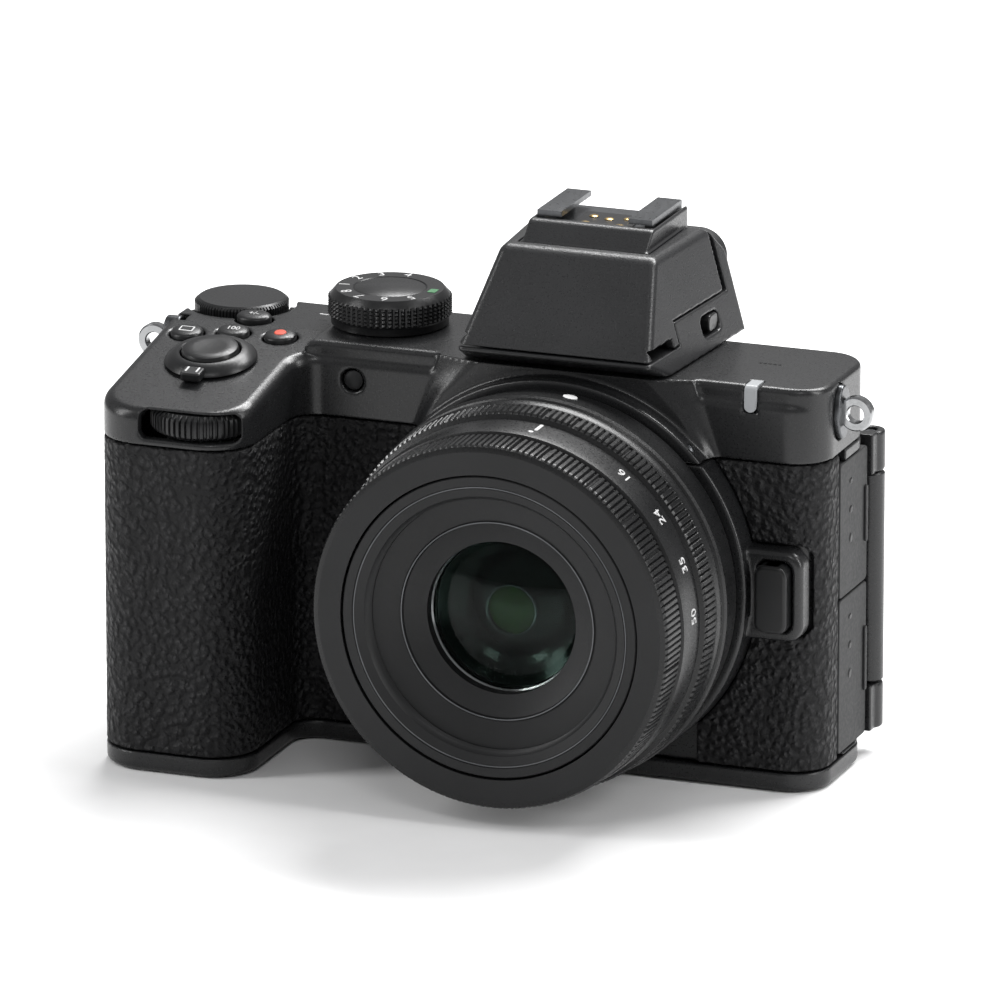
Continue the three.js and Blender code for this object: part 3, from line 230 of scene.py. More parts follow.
GOLD = moulded("contact_gold", (0.3, 0.21, 0.09), (0.42, 0.3, 0.13), 0.3, 1500, 0.000005, 1.0)
WHITE = moulded("marking_white", (0.42, 0.42, 0.42), (0.56, 0.56, 0.56), 0.55)
GREEN_MARK = moulded("marking_green", (0.03, 0.14, 0.05), (0.05, 0.2, 0.08), 0.5)
RED_MARK = moulded("marking_red", (0.42, 0.035, 0.012), (0.62, 0.07, 0.025), 0.4)
MILK = moulded("light_guide", (0.24, 0.25, 0.26), (0.33, 0.34, 0.35), 0.38)
BOARD = moulded("circuit_board", (0.012, 0.08, 0.04), (0.02, 0.12, 0.06), 0.45)
CAST = moulded("cast_alloy", (0.22, 0.225, 0.23), (0.33, 0.335, 0.34), 0.45, 1200, 0.00004, 0.9)
PACK = moulded("pack_plastic", (0.03, 0.031, 0.033), (0.05, 0.051, 0.054), 0.5)
GLASS = coated_glass("element_edge", (0.003, 0.014, 0.012), 0.2)
DEEP_GLASS = coated_glass("inner_element", (0.005, 0.024, 0.019), 0.06)
INNER_GLASS = coated_glass("pupil_element", (0.16, 0.42, 0.07), 0.12)
WINDOW = coated_glass("clear_window", (0.10, 0.11, 0.115), 0.05)
SCREEN = coated_glass("display_glass", (0.010, 0.011, 0.013), 0.04)


# ---- mesh helpers


def new_object(name, data):
    piece = bpy.data.objects.new(name, data)
    bpy.context.scene.collection.objects.link(piece)
    return piece


def finish(name, shape, material, body, replaces=(), smooth=30):
    """Turns a mesh or bmesh in millimetres into a piece on a body; edges past the smooth angle stay sharp."""
    mesh = from_bmesh(shape) if isinstance(shape, bmesh.types.BMesh) else shape
    mesh.transform(Matrix.Scale(MM, 4))
    piece = new_object(name, mesh)
    mesh.materials.append(material)
    mesh.shade_smooth()
    if smooth:
        mesh.set_sharp_from_angle(angle=math.radians(smooth))
    if replaces:
        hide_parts(*replaces)
    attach(piece, body)
    return piece


def from_bmesh(bm):
    bmesh.ops.recalc_face_normals(bm, faces=bm.faces)
    mesh = bpy.data.meshes.new("m")
    bm.to_mesh(mesh)
    bm.free()
    return mesh


def rounded(piece, width, segments=3, angle=30):
    """Rounds a piece's sharp edges, width in millimetres."""
    bevel = piece.modifiers.new("round", "BEVEL")
    bevel.width = width * MM
    bevel.segments = segments
    bevel.limit_method = "ANGLE"
    bevel.angle_limit = math.radians(angle)
    bevel.harden_normals = True
    return piece


def lathe(profile, sides, axis="z", radius_at=None):
    """A closed profile of (radius, along) turned about an axis; radius_at(i, turn) may vary a point."""
    rows = []
    bm = bmesh.new()
    for k in range(sides):
        turn = 2 * math.pi * k / sides
        row = []
        for i, (r, along) in enumerate(profile):
            here = radius_at(i, turn, r) if radius_at else r
            row.append(bm.verts.new((here * math.cos(turn), here * math.sin(turn), along)))
        rows.append(row)
    for k in range(sides):
        a, b = rows[k], rows[(k + 1) % sides]
        for i in range(len(profile)):
            j = (i + 1) % len(profile)
            bm.faces.new((a[i], b[i], b[j], a[j]))
    bmesh.ops.remove_doubles(bm, verts=bm.verts, dist=1e-5)
    if axis == "y":
        bmesh.ops.rotate(bm, verts=bm.verts, matrix=Matrix.Rotation(math.pi / 2, 3, "X"))
    if axis == "x":
        bmesh.ops.rotate(bm, verts=bm.verts, matrix=Matrix.Rotation(math.pi / 2, 3, "Y"))
    return bm


def moved(bm, offset):
    bmesh.ops.translate(bm, verts=bm.verts, vec=Vector(offset))
    return bm


def on_axis(profile, sides, radius_at=None):
    """A ring about the optical axis; a profile point is (radius, y)."""
    flipped = [(r, -y) for r, y in profile]
    return moved(lathe(flipped, sides, "y", radius_at), (0, 0, AXIS_Z))


def slab(outline, z0, z1):
    """A closed outline raised from z0 to z1."""
    bm = bmesh.new()
    low = [bm.verts.new((x, y, z0)) for x, y in outline]
    high = [bm.verts.new((x, y, z1)) for x, y in outline]
    bm.faces.new(low[::-1])
    bm.faces.new(high)
    for i in range(len(low)):
        j = (i + 1) % len(low)
        bm.faces.new((low[i], low[j], high[j], high[i]))
    return bm


def round_rect(x0, x1, y0, y1, radius, steps=6):
    points = []
    corners = ((x1, y1, 0), (x0, y1, 1), (x0, y0, 2), (x1, y0, 3))
    for x, y, quarter in corners:
        cx = x - math.copysign(radius, x - (x0 + x1) / 2)
        cy = y - math.copysign(radius, y - (y0 + y1) / 2)
        for s in range(steps + 1):
            turn = (quarter + s / steps) * math.pi / 2
            points.append((cx + radius * math.cos(turn), cy + radius * math.sin(turn)))
    return points


def oval(half_x, half_y, sides=40):
    turns = [2 * math.pi * k / sides for k in range(sides)]
    return [(half_x * math.cos(t), half_y * math.sin(t)) for t in turns]


def block(lo, hi):
    return slab([(lo[0], lo[1]), (hi[0], lo[1]), (hi[0], hi[1]), (lo[0], hi[1])], lo[2], hi[2])


def turned_to(bm, matrix):
    bmesh.ops.transform(bm, matrix=matrix, verts=bm.verts)
    return bm


def to_rear(x, y, z):
    """Lays a slab on the rear face: its top looks back, its X runs to the camera's left."""
    turn = Matrix.Rotation(math.pi, 4, "Z") @ Matrix.Rotation(math.pi / 2, 4, "X")
    return Matrix.Translation((x, y, z)) @ turn


def to_front(x, y, z):
    return Matrix.Translation((x, y, z)) @ Matrix.Rotation(math.pi / 2, 4, "X")


def to_right(x, y, z):
    turn = Matrix.Rotation(math.pi / 2, 4, "Z") @ Matrix.Rotation(math.pi / 2, 4, "X")
    return Matrix.Translation((x, y, z)) @ turn


def to_slope(x, y, lift=0.0):
    return Matrix.Translation((x, y, slope_height(y) + lift)) @ Matrix.Rotation(SLOPE_ANGLE, 4, "X")


def lettering(name, text, size, matrix, material, body, thickness=0.06):
    """Generic figures as a thin raised mesh."""
    curve = bpy.data.curves.new(name, "FONT")
    curve.body = text
    curve.size = size
    curve.align_x = "CENTER"
    curve.align_y = "CENTER"
    curve.extrude = thickness / 2
    holder = new_object(name + "_curve", curve)
    bpy.context.view_layer.update()
    mesh = bpy.data.meshes.new_from_object(holder)
    bpy.data.objects.remove(holder)
    mesh.materials.clear()
    mesh.transform(matrix)
    return finish(name, mesh, material, body)


# ---- moulded shells


def keep(*fields):
    """Where every field holds, a field being negative inside its shape."""
    return functools.reduce(np.maximum, fields)


def merge(*fields):
    return functools.reduce(np.minimum, fields)


def keep_round(a, b, r):
    """Where both hold, their shared edge rounded to r."""
    inner = np.minimum(np.maximum(a, b), -r)
    return inner + np.sqrt(np.maximum(a + r, 0) ** 2 + np.maximum(b + r, 0) ** 2)


def merge_round(a, b, r):
    return -keep_round(-a, -b, r)


def rect(u, v, u0, u1, v0, v1, r=0.0):
    du = np.abs(u - (u0 + u1) / 2) - (u1 - u0) / 2 + r
    dv = np.abs(v - (v0 + v1) / 2) - (v1 - v0) / 2 + r
    return np.minimum(np.maximum(du, dv), 0) + np.sqrt(np.maximum(du, 0) ** 2 + np.maximum(dv, 0) ** 2) - r


def disc(u, v, cu, cv, r):
    return np.sqrt((u - cu) ** 2 + (v - cv) ** 2) - r


def between(w, lo, hi):
    return np.maximum(lo - w, w - hi)


def body_plan(x, y):
    """The body and its grip seen from above."""
    block_ = rect(x, y, LEFT, RIGHT, BODY_FRONT, REAR, 7.0)
    hand = rect(x, y, LEFT, GRIP_RIGHT, GRIP_FRONT, REAR, 8.5)
    outer = rect(x, y, LEFT, RIGHT, GRIP_FRONT, REAR, 7.0)
    return keep(merge_round(block_, hand, 4.5), outer)


def mesh_of(field, lo, hi, step=None):
    """The zero level of a field over a box, as a mesh in millimetres."""
    step = step or STEP
    counts = [int(math.ceil((hi[i] - lo[i] + 4 * step) / step)) for i in range(3)]
    axes = [lo[i] - 2 * step + step * np.arange(counts[i]) for i in range(3)]
    x, y, z = np.meshgrid(*axes, indexing="ij", sparse=True)
    values = np.broadcast_to(field(x, y, z), counts).astype(np.float32) / step
    grid = openvdb.FloatGrid(3.0)
    grid.copyFromArray(np.clip(values, -3, 3))
    points, quads = grid.convertToQuads(0.0)
    points = points * step + np.array([a[0] for a in axes])
    mesh = bpy.data.meshes.new("m")
    mesh.vertices.add(len(points))
    mesh.vertices.foreach_set("co", points.astype(np.float32).ravel())
    mesh.loops.add(quads.size)
    mesh.loops.foreach_set("vertex_index", quads.astype(np.int32).ravel())
    mesh.polygons.add(len(quads))
    mesh.polygons.foreach_set("loop_start", np.arange(0, quads.size, 4, dtype=np.int32))
    mesh.update(calc_edges=True)
    mesh.validate()
    return mesh


def shell(name, field, node, material, body=BODY, pad=1.5, replaces=None, step=None):
    lo, hi = limits(node)
    mesh = mesh_of(field, lo - pad, hi + pad, step)
    return finish(name, mesh, material, body, replaces or (node,), smooth=None)


def grip_slope(x, y, z, drop=0.0):
    """Below the grip's sloping cap, or anywhere right of it on the shoulder."""
    roof = (z - GRIP_TOP + drop - SLOPE * np.minimum(y, 0)) * math.cos(SLOPE_ANGLE)
    beyond = np.minimum(x - (GRIP_ROOT - 1.2), y - BODY_FRONT)
    return np.minimum(roof, -beyond)


def on_slope_axis(x, y, z, cx, cy):
    """Coordinates on the grip's top about a point: across, along and out of it."""
    dy, dz = y - cy, z - slope_height(cy)
    c, s = math.cos(SLOPE_ANGLE), math.sin(SLOPE_ANGLE)
    return x - cx, c * dy + s * dz, c * dz - s * dy


CHIN_TOP, CHIN_FRONT, CHIN_FOOT = 77.0, -16.2, 75.9
FUNNEL_FRONT = -12.0
FUNNEL_Z = (44.6, 59.0, 67.2, 74.0)  # levels of the funnel's two edge lines
FUNNEL_EDGE = (33.9, 27.4, 21.9, 14.9)  # half widths along its front edge
FUNNEL_BASE = (33.2, 28.2, 25.4, 23.2)  # half widths where it leaves the body


def collar_ring(x, y, z):
    ring = disc(x, z, 0, AXIS_Z, COLLAR)
    return keep(keep_round(ring, COLLAR_FRONT - y, 0.5), y - (BODY_FRONT + WALL))


def chin(x, y, z):
    """The funnel from the viewfinder's foot down round the lens."""
    reach = np.clip((BODY_FRONT - y) / (BODY_FRONT - FUNNEL_FRONT), 0, 1)
    edge = np.interp(z, FUNNEL_Z, FUNNEL_EDGE)
    base = np.interp(z, FUNNEL_Z, FUNNEL_BASE)
    side = (np.abs(x) - base * (1 - reach) - edge * reach) * 0.6
    upper = keep_round(side, FUNNEL_FRONT - y, 0.5)
    upper = keep(upper, z - (SHOULDER + 0.1), y - (BODY_FRONT + WALL), FUNNEL_Z[0] - z)
    return merge_round(upper, collar_ring(x, y, z), 0.5)


def lens_room(x, y, z):
    wide = keep(disc(x, z, 0, AXIS_Z, COLLAR + 0.8), y - COLLAR_FRONT)
    bore = keep(disc(x, z, 0, AXIS_Z, MOUNT_HI[0] + GAP), y - 9.0)
    return merge(wide, bore)


def top_field(x, y, z):
    plan = body_plan(x, y)
    solid = keep_round(plan, z - SHOULDER, 1.0)
    solid = keep_round(solid, grip_slope(x, y, z), 1.9)
    room = keep(plan + WALL, z - SHOULDER + WALL, grip_slope(x, y, z, 2.4))
    solid = keep(solid, -room)
    solid = keep(merge_round(solid, chin(x, y, z), 0.6), z - SHOULDER)
    solid = keep(solid, -lens_room(x, y, z), SEAM_HIGH - z)
    dial, dial_top = half_width("rear_dial"), limits("rear_dial")[1][2]
    cx, cy = centre("rear_dial")[:2]
    solid = keep_round(solid, -keep(disc(x, y, cx, cy, dial + 1.3), dial_top - 2.6 - z), 0.5)
    solid = keep(solid, -keep(disc(x, y, cx, cy, dial + GAP), dial_top - 3.1 - z))
    solid = keep_round(solid, -front_dial_window(x, y, z), 0.35)
    for node in ("record_button", "iso_button", "picture_button", "exposure_button"):
        solid = keep_round(solid, -button_hole(node, x, y, z), 0.3)
    c = centre("shutter_button")
    across, along, _ = on_slope_axis(x, y, z, c[0], SHUTTER_Y)
    solid = keep_round(solid, -(np.sqrt(across**2 + along**2) - 5.4), 0.3)
    lamp = centre("focus_lamp")
    solid = keep(solid, -keep(disc(x, z, lamp[0], lamp[2], 2.1), between(y, BODY_FRONT - 2, -7)))
    t_lo, t_hi = limits("tally_light")
    bent = merge(y - (BODY_FRONT + 0.9), SHOULDER - 0.9 - z)
    slot_ = keep(between(x, t_lo[0] - 0.15, t_hi[0] + 0.15), t_lo[2] - 0.15 - z, y - t_hi[1] - 0.15, bent)
    solid = keep(solid, -slot_)
    for side in ("strap_lug_left", "strap_lug_right"):
        lug = centre(side)
        edge = RIGHT if lug[0] > 0 else LEFT
        hole = np.sqrt((y - lug[1]) ** 2 * 2.4 + (z - lug[2]) ** 2) - 5.1
        solid = keep(solid, -keep(hole, np.abs(x - edge) - 3))
    m = centre("ael_button")
    return keep(solid, -keep(disc(x, z, m[0], m[2], 2.9), REAR - 3 - y))


SHUTTER_Y = -16.6


def front_dial_window(x, y, z):
    lo, hi = limits("front_dial")
    c = (lo + hi) / 2
    across = rect(x, z, c[0] - 8.8, c[0] + 8.8, lo[2] - GAP, hi[2] + GAP, 1.4)
    return keep(across, y - (c[1] - 1.0))


def button_hole(node, x, y, z):
    c = centre(node)
    across, along, _ = on_slope_axis(x, y, z, c[0], c[1])
    return np.sqrt(across**2 + (along * 1.06) ** 2) - (half_width(node) + GAP)


# ---- stage, camera and lights


def make_stage():
    floor = bpy.data.meshes.new("floor")
    bm = bmesh.new()
    bmesh.ops.create_grid(bm, x_segments=1, y_segments=1, size=3.0)
    bm.to_mesh(floor)
    bm.free()
    piece = new_object("floor", floor)
    piece.location.z = -0.0002
    floor.materials.append(moulded("floor", (0.9, 0.9, 0.9), (0.93, 0.93, 0.93), 0.75, 200))


def make_camera():
    data = bpy.data.cameras.new("camera")
    data.lens = 436.8
    data.sensor_width = 36
    data.clip_start, data.clip_end = 0.1, 20
    piece = new_object("camera", data)
    azimuth, elevation = math.radians(20.764), math.radians(16.706)
    back = Vector((
        math.sin(azimuth) * math.cos(elevation),
        -math.cos(azimuth) * math.cos(elevation),
        math.sin(elevation),
    ))
    piece.location = (0.7074, -1.9080, 0.6569)
    piece.rotation_mode = "QUATERNION"
    piece.rotation_quaternion = (-back).to_track_quat("-Z", "Y")
    bpy.context.scene.camera = piece


def area_light(name, place, size, power, target=(0.0, 0.0, 0.045)):
    data = bpy.data.lights.new(name, "AREA")
    data.shape = "RECTANGLE"
    data.size, data.size_y = size
    data.energy = power
    piece = new_object(name, data)
    piece.location = place
    aim = Vector(target) - Vector(place)
    piece.rotation_mode = "QUATERNION"
    piece.rotation_quaternion = aim.to_track_quat("-Z", "Y")


def make_lights():
    area_light("top_soft", (0.1, 0.45, 0.75), (0.8, 0.22), 13)
    area_light("left_soft", (-0.8, -0.45, 0.5), (0.2, 0.8), 5)
    area_light("right_soft", (0.85, -0.1, 0.45), (0.2, 0.8), 5)
    area_light("front_soft", (0.25, -1.1, 1.1), (0.5, 0.25), 3)
    world = bpy.data.worlds.new("studio")
    world.use_nodes = True
    put(world.node_tree.nodes["Background"], Color=(0.95, 0.95, 0.96, 1), Strength=0.36)
    bpy.context.scene.world = world
    bpy.context.scene.view_settings.view_transform = "Standard"


make_camera()
make_stage()
make_lights()

# ---- covers


def port_recess(x, y, z):
    lo, _ = limits("lower_port_cover")
    _, hi = limits("upper_port_cover")
    return keep(lo[0] - GAP - x, rect(y, z, lo[1] - GAP, hi[1] + GAP, lo[2] - GAP, hi[2] + GAP, 1.2))


def release_slot(x, y, z):
    lo, hi = limits("lens_release")
    c = (lo + hi) / 2
    return keep(rect(x, z, hi[0] - 6.3, hi[0] + 0.3, c[2] - 6.4, c[2] + 6.4, 2.0), y + 3)


def release_bump(x, y, z, extra=0.0):
    across = rect(x, z, 29.2 - extra, 44.8 + extra, AXIS_Z - 8.2 - extra, AXIS_Z + 8.2 + extra, 3.0)
    return keep(keep_round(across, -13.2 - y, 1.3), y - (BODY_FRONT + 1))


def front_field(x, y, z):
    plan = body_plan(x, y)
    skin = keep(plan + 0.9 + GAP, -(plan + 2.4), y - 3, GRIP_ROOT + GAP - x)
    solid = merge(skin, release_bump(x, y, z), collar_ring(x, y, z))
    solid = keep(solid, between(z, BASE_TOP + GAP, SEAM_LOW))
    return keep(solid, -lens_room(x, y, z), -port_recess(x, y, z), -release_slot(x, y, z))


def grain(field, x, y, z):
    """Shallow pebbling of the rubber, so that its outline isn't dead straight."""
    wave = np.sin(x * 3.1 + 2 * np.sin(z * 1.7)) * np.sin(z * 2.9 + 2 * np.sin(y * 1.9)) * np.sin(y * 3.3 + x)
    return field + 0.05 * wave


def panel_edge(plan, z, low, high, r=0.45):
    return keep_round(plan, between(z, low, high), r)


def front_leather_field(x, y, z):
    plan = grain(body_plan(x, y), x, y, z)
    port_front = limits("lower_port_cover")[0][1]
    face = panel_edge(plan, z, BASE_TOP + 1.2 * GAP, SEAM_LOW - 0.2 * GAP)
    band = keep(face, -(body_plan(x, y) + 0.9), y - (port_front - 1.2 * GAP), 24.4 - x)
    ring = disc(x, z, 0, AXIS_Z, COLLAR + GAP)
    return keep(band, -ring, -release_bump(x, np.minimum(y, -10.5), z, GAP))


def grip_field(x, y, z):
    plan = grain(body_plan(x, y), x, y, z)
    face = panel_edge(plan, z, BASE_TOP + GAP, SEAM_LOW)
    hand = keep(face, x - GRIP_ROOT, y - 3, -(body_plan(x, y) + WALL))
    panel = keep(face, -(body_plan(x, y) + 0.9), GRIP_ROOT - 1 - x, x + COLLAR - 12, y + 8)
    ring = disc(x, z, 0, AXIS_Z, COLLAR + GAP)
    return keep(merge(hand, panel), -ring)


def rear_field(x, y, z):
    plan = body_plan(x, y)
    solid = keep(panel_edge(plan, z, BASE_TOP + GAP, SEAM_LOW, 0.3), 3.3 - y, -(plan + WALL))
    solid = keep(solid, -port_recess(x, y, z))
    for node in REAR_BUTTONS:
        c = centre(node)
        hole = disc(x, z, c[0], c[2], half_width(node) + GAP)
        solid = keep_round(solid, -keep(hole, REAR - 3 - y), 0.3)
    c = centre("multi_selector")
    dish = keep(disc(x, z, c[0], c[2], 9.5), REAR - 1.3 - y)
    solid = keep_round(solid, -dish, 0.4)
    solid = keep(solid, -keep(disc(x, z, c[0], c[2], 4.2), REAR - 3 - y))
    pin = centre("monitor_hinge_pin")
    top_z, low_z = 58.6, 4.2
    barrel = disc(x, y, pin[0], pin[1], 2.6)
    web = rect(x, y, pin[0] - 2.6, pin[0] + 1.8, REAR - 1, pin[1])
    for span in (between(z, low_z, HINGE_LOW - GAP), between(z, HINGE_HIGH + GAP, top_z)):
        solid = merge(solid, merge(keep_round(barrel, span, 0.4), keep(web, span)))
    return keep(solid, -keep(disc(x, y, pin[0], pin[1], 1.2), low_z + 1.2 - z))


def plate_field(x, y, z):
    solid = keep_round(body_plan(x, y), -z, 1.1)
    solid = keep(solid, z - BASE_TOP)
    lo, hi = limits("battery_door")
    door = keep(rect(x, y, lo[0] - GAP, hi[0] + GAP, lo[1] - GAP, hi[1] + GAP, 2.2), z - hi[2] - GAP)
    b_lo, b_hi = limits("battery")
    pack = rect(x, y, b_lo[0] - GAP, limits("memory_card")[1][0] + GAP, b_lo[1] - GAP, b_hi[1] + GAP, 1.0)
    t = centre("tripod_socket")
    solid = keep(solid, -door, -pack, -disc(x, y, t[0], t[1], 6.1))
    for x_, y_ in SCREWS:
        solid = keep(solid, -keep(disc(x, y, x_, y_, 1.9), z - 0.9))
    return solid


REAR_BUTTONS = (
    "ael_button",
    "display_button",
    "info_button",
    "zoom_in_button",
    "zoom_out_button",
    "menu_button",
    "playback_button",
    "delete_button",
)


# ---- viewfinder and flash

HUMP_LOW, HUMP_TOP = SHOULDER + GAP, 92.4
PIVOT_Y, PIVOT_Z = 17.3, 90.6
ARM_IN, ARM_SEAM, ARM_STEP = 12.2, 81.3, -3.2
FLASH_REAR = PIVOT_Y + 1
CROSS = 18.9


def plane_through(a, b, c, inside):
    """Distance above the plane through three points, negative towards inside."""
    a, b, c = map(np.array, (a, b, c))
    n = np.cross(b - a, c - a).astype(float)
    n /= np.linalg.norm(n)
    if np.dot(n, np.array(inside) - a) > 0:
        n = -n
    return lambda x, y, z: n[0] * (x - a[0]) + n[1] * (y - a[1]) + n[2] * (z - a[2])


CORE = (0, 4, 82)
HUMP_SIDE = plane_through((17.7, -16.2, 77), (14.3, -4.2, 92.4), (21.4, 24, 73.3), CORE)
HUMP_FRONT = plane_through((17.7, -16.2, 77), (-17.7, -16.2, 77), (14.3, -4.2, 92.4), CORE)
HUMP_HEEL = plane_through((9, 19, 92.4), (-9, 19, 92.4), (9, 24, 87.4), CORE)


def hump(x, y, z, inset=0.0):
    side = HUMP_SIDE(np.abs(x), y, z) + inset
    under = (CHIN_FRONT - y + 2.2 * (CHIN_FOOT - z)) * 0.41
    front = keep(HUMP_FRONT(x, y, z), CHIN_FRONT - y, under) + inset
    solid = keep_round(side, front, 1.1)
    solid = keep_round(solid, z - HUMP_TOP + inset, 1.2)
    solid = keep_round(solid, y - 24.0 + inset, 1.4)
    return keep(keep_round(solid, HUMP_HEEL(x, y, z) + inset, 1.4), HUMP_LOW - z)


def flash_zone(y, z, margin):
    rear = FLASH_REAR + (1.6 if margin else 0)
    front_part = keep(CHIN_TOP - margin - z, y - (ARM_STEP + margin))
    arms = keep(ARM_SEAM - margin - z, y - rear)
    return merge(front_part, arms)


def plinth(x, y, z):
    slope = ((-1.1 - y) + (z - HUMP_TOP) * 1.09) * 0.67
    sides = keep_round(np.abs(x) - 11.6, z - 95.6, 0.5)
    return keep(keep_round(sides, slope, 0.5), y - 20.0, HUMP_TOP - 1.5 - z)


def shoe_slot(x, y, z):
    lo, hi = limits("hot_shoe")
    return keep(np.abs(x) - (hi[0] + GAP), lo[1] - GAP - y, lo[2] - GAP - z)


def housing_field(x, y, z):
    eye = keep_round(rect(x, z, -16.5, 16.5, 66.5, 86.0, 2.5), y - 24.0, 0.8)
    eye = keep(eye, REAR + GAP - y)
    solid = keep(merge_round(hump(x, y, z), eye, 1.5), y - 24.0, -flash_zone(y, z, GAP))
    sweep = disc(y, z, PIVOT_Y, PIVOT_Z, CROSS - GAP)
    inner = keep(hump(x, y, z), np.abs(x) - (ARM_IN - GAP), ARM_STEP - y, sweep)
    solid = merge(solid, inner, plinth(x, y, z))
    tunnel = keep(rect(x, z, -11, 11, 73, 85, 1.5), 2 - y)
    room = keep(np.abs(x) - (ARM_IN - 2.2), between(y, 0, 21), z - 87)
    solid = keep(solid, -shoe_slot(x, y, z), -tunnel, -room)
    f_lo, f_hi = limits("flash_release")
    run = rect(y, z, f_lo[1] - 2.9, f_hi[1] + GAP, f_lo[2] - GAP, f_hi[2] + GAP, 1.4)
    solid = keep_round(solid, -keep(run, f_lo[0] - GAP - x), 0.3)
    d_hi = limits("diopter_dial")[1]
    knob = centre("diopter_dial")
    socket = keep(disc(y, z, knob[1], knob[2], 3.9), x - d_hi[0] - GAP)
    pin = keep(disc(y, z, PIVOT_Y, PIVOT_Z, 1.5), x + ARM_IN - 3)
    return keep(solid, -socket, -pin)


def flash_field(x, y, z):
    solid = keep(hump(x, y, z), flash_zone(y, z, 0.0))
    middle = np.abs(x) - ARM_IN
    sweep = keep(disc(y, z, PIVOT_Y, PIVOT_Z, CROSS), middle)
    behind = keep(middle, -1.1 - GAP - y)
    hollow = keep(hump(x, y, z, 1.6), y - (ARM_STEP + 30), CHIN_TOP - 1 - z)
    bay = keep(CHIN_FRONT + 1.6 - y, y + 5.3, z - CHIN_TOP - 1.8)
    return keep(solid, -sweep, -behind, -hollow, -bay)


def eyecup_field(x, y, z):
    lo, hi = limits("eyecup")
    outer = rect(x, z, lo[0], hi[0], lo[2], hi[2], 5.0)
    hole = rect(x, z, lo[0] + 2.4, hi[0] - 2.4, lo[2] + 2.4, hi[2] - 2.4, 3.5)
    ring = keep_round(outer, between(y, lo[1], hi[1]), 1.2)
    return keep_round(ring, -hole, 1.0)


def thumb_field(x, y, z):
    lo, hi = limits("thumb_rest")
    outer = rect(x, z, lo[0], hi[0], lo[2], hi[2], 3.0)
    ridge = np.exp(-(((x - (hi[0] - 4.5)) / 3.2) ** 2)) * np.clip((hi[2] - 2 - z) / 4, 0, 1)
    face = REAR + 0.5 + 2.0 * ridge * np.clip((z - lo[2] - 2) / 6, 0, 1)
    pad = keep_round(outer, (y - face) * 0.8, 0.5)
    return keep(grain(pad, x, y, z), lo[1] - y)


def screw_heads():
    for i, (x, y) in enumerate(SCREWS):
        head = lathe([(0, 0.25), (1.4, 0.25), (1.6, 0.45), (1.6, 0.88), (0, 0.88)], 28)
        finish(f"plate_screw_{i}", moved(head, (x, y, 0)), STEEL, BODY)
        # Dark bars just proud of the steel head, no recess cut: painted shade standing for the cross slot.
        for turn in (0, math.pi / 2):
            bar = block((-1.0, -0.17, 0.2), (1.0, 0.17, 0.3))
            turned_to(bar, Matrix.Translation((x, y, 0)) @ Matrix.Rotation(turn, 4, "Z"))
            finish(f"plate_screw_{i}_slot_{int(turn > 0)}", bar, KNOB, BODY, smooth=None)


def make_covers():
    shell("top_cover_moulding", top_field, "top_cover", SATIN)
    shell("front_casing", front_field, "front_shell", SATIN)
    shell("mount_side_leather", front_leather_field, "front_leather", LEATHER)
    shell("grip_covering", grip_field, "grip_rubber", LEATHER)
    shell("rear_casing", rear_field, "rear_shell", SATIN)
    shell("base_plate", plate_field, "bottom_plate", SATIN)
    shell("eyepiece_cup", eyecup_field, "eyecup", RUBBER, step=0.3)
    shell("thumb_rest_pad", thumb_field, "thumb_rest", LEATHER, step=0.3)
    shell("viewfinder_moulding", housing_field, "viewfinder_housing", HUMP, step=HUMP_STEP)
    shell("flash_lid", flash_field, "flash_head", HUMP, "flash", step=HUMP_STEP)
    screw_heads()


HUMP_STEP = 0.24


# ---- lens

LENS_FRONT = limits("control_ring")[0][1]
CONTROL_REAR = limits("control_ring")[1][1]
ZOOM_LO, ZOOM_HI = limits("zoom_ring")
BARREL_LO, BARREL_HI = limits("lens_barrel")
SLEEVE = 29.7
INNER = limits("inner_barrel")[1][0]


def ribs(points, count, depth):
    """A radius rule that cuts square-topped ribs into the listed profile points."""

    def rule(i, turn, radius):
        if i not in points:
            return radius
        phase = (turn * count / (2 * math.pi)) % 1
        return radius - depth * (1 if phase > 0.55 else 0)

    return rule


def make_control_ring():
    y = LENS_FRONT
    profile = [
        (INNER + 0.3, y), (31.5, y), (32.3, y + 0.25), (32.6, y + 0.75), (32.65, y + 1.0),
        (32.8, CONTROL_REAR - 0.4), (32.4, CONTROL_REAR - 0.3), (32.3, CONTROL_REAR),
        (SLEEVE + 0.3, CONTROL_REAR), (SLEEVE + 0.3, y + 1.7), (INNER + 0.3, y + 1.7),
    ]
    bm = on_axis(profile, 190 * 4, ribs((3, 4, 5), 190, 0.5))
    finish("control_ring_knurled", bm, LENS, "control_ring", ("control_ring",), smooth=35)
    inside = INNER + 0.35
    face = on_axis([(inside, y - 0.02), (31.4, y - 0.02), (31.4, y + 0.1), (inside, y + 0.1)], 160)
    finish("control_ring_face", face, LENS_FACE, "control_ring", smooth=35)


def make_zoom_ring():
    y0, y1 = ZOOM_LO[1], ZOOM_HI[1]
    band = y0 + 7.4
    profile = [
        (SLEEVE + 0.3, y0), (32.3, y0), (33.0, y0 + 0.4), (33.25, y0 + 2.0), (33.3, band),
        (34.1, band + 0.35), (34.35, band + 0.8), (34.45, band + 0.9), (34.7, y1 - 2.6),
        (34.5, y1 - 2.5), (34.5, y1 - 1.7), (34.7, y1 - 1.2), (34.7, y1 - 0.2), (34.5, y1),
        (SLEEVE + 0.3, y1),
    ]
    bm = on_axis(profile, 190 * 4, ribs((6, 7, 8), 190, 0.55))
    finish("zoom_ring_knurled", bm, LENS, "zoom_ring", ("zoom_ring",), smooth=35)
    for value, turn in (("16", 38), ("24", 54), ("35", 70), ("50", 86)):
        ring_mark("zoom_mark_" + value, value, turn, y0 + 4.5, 33.3, 3.0)


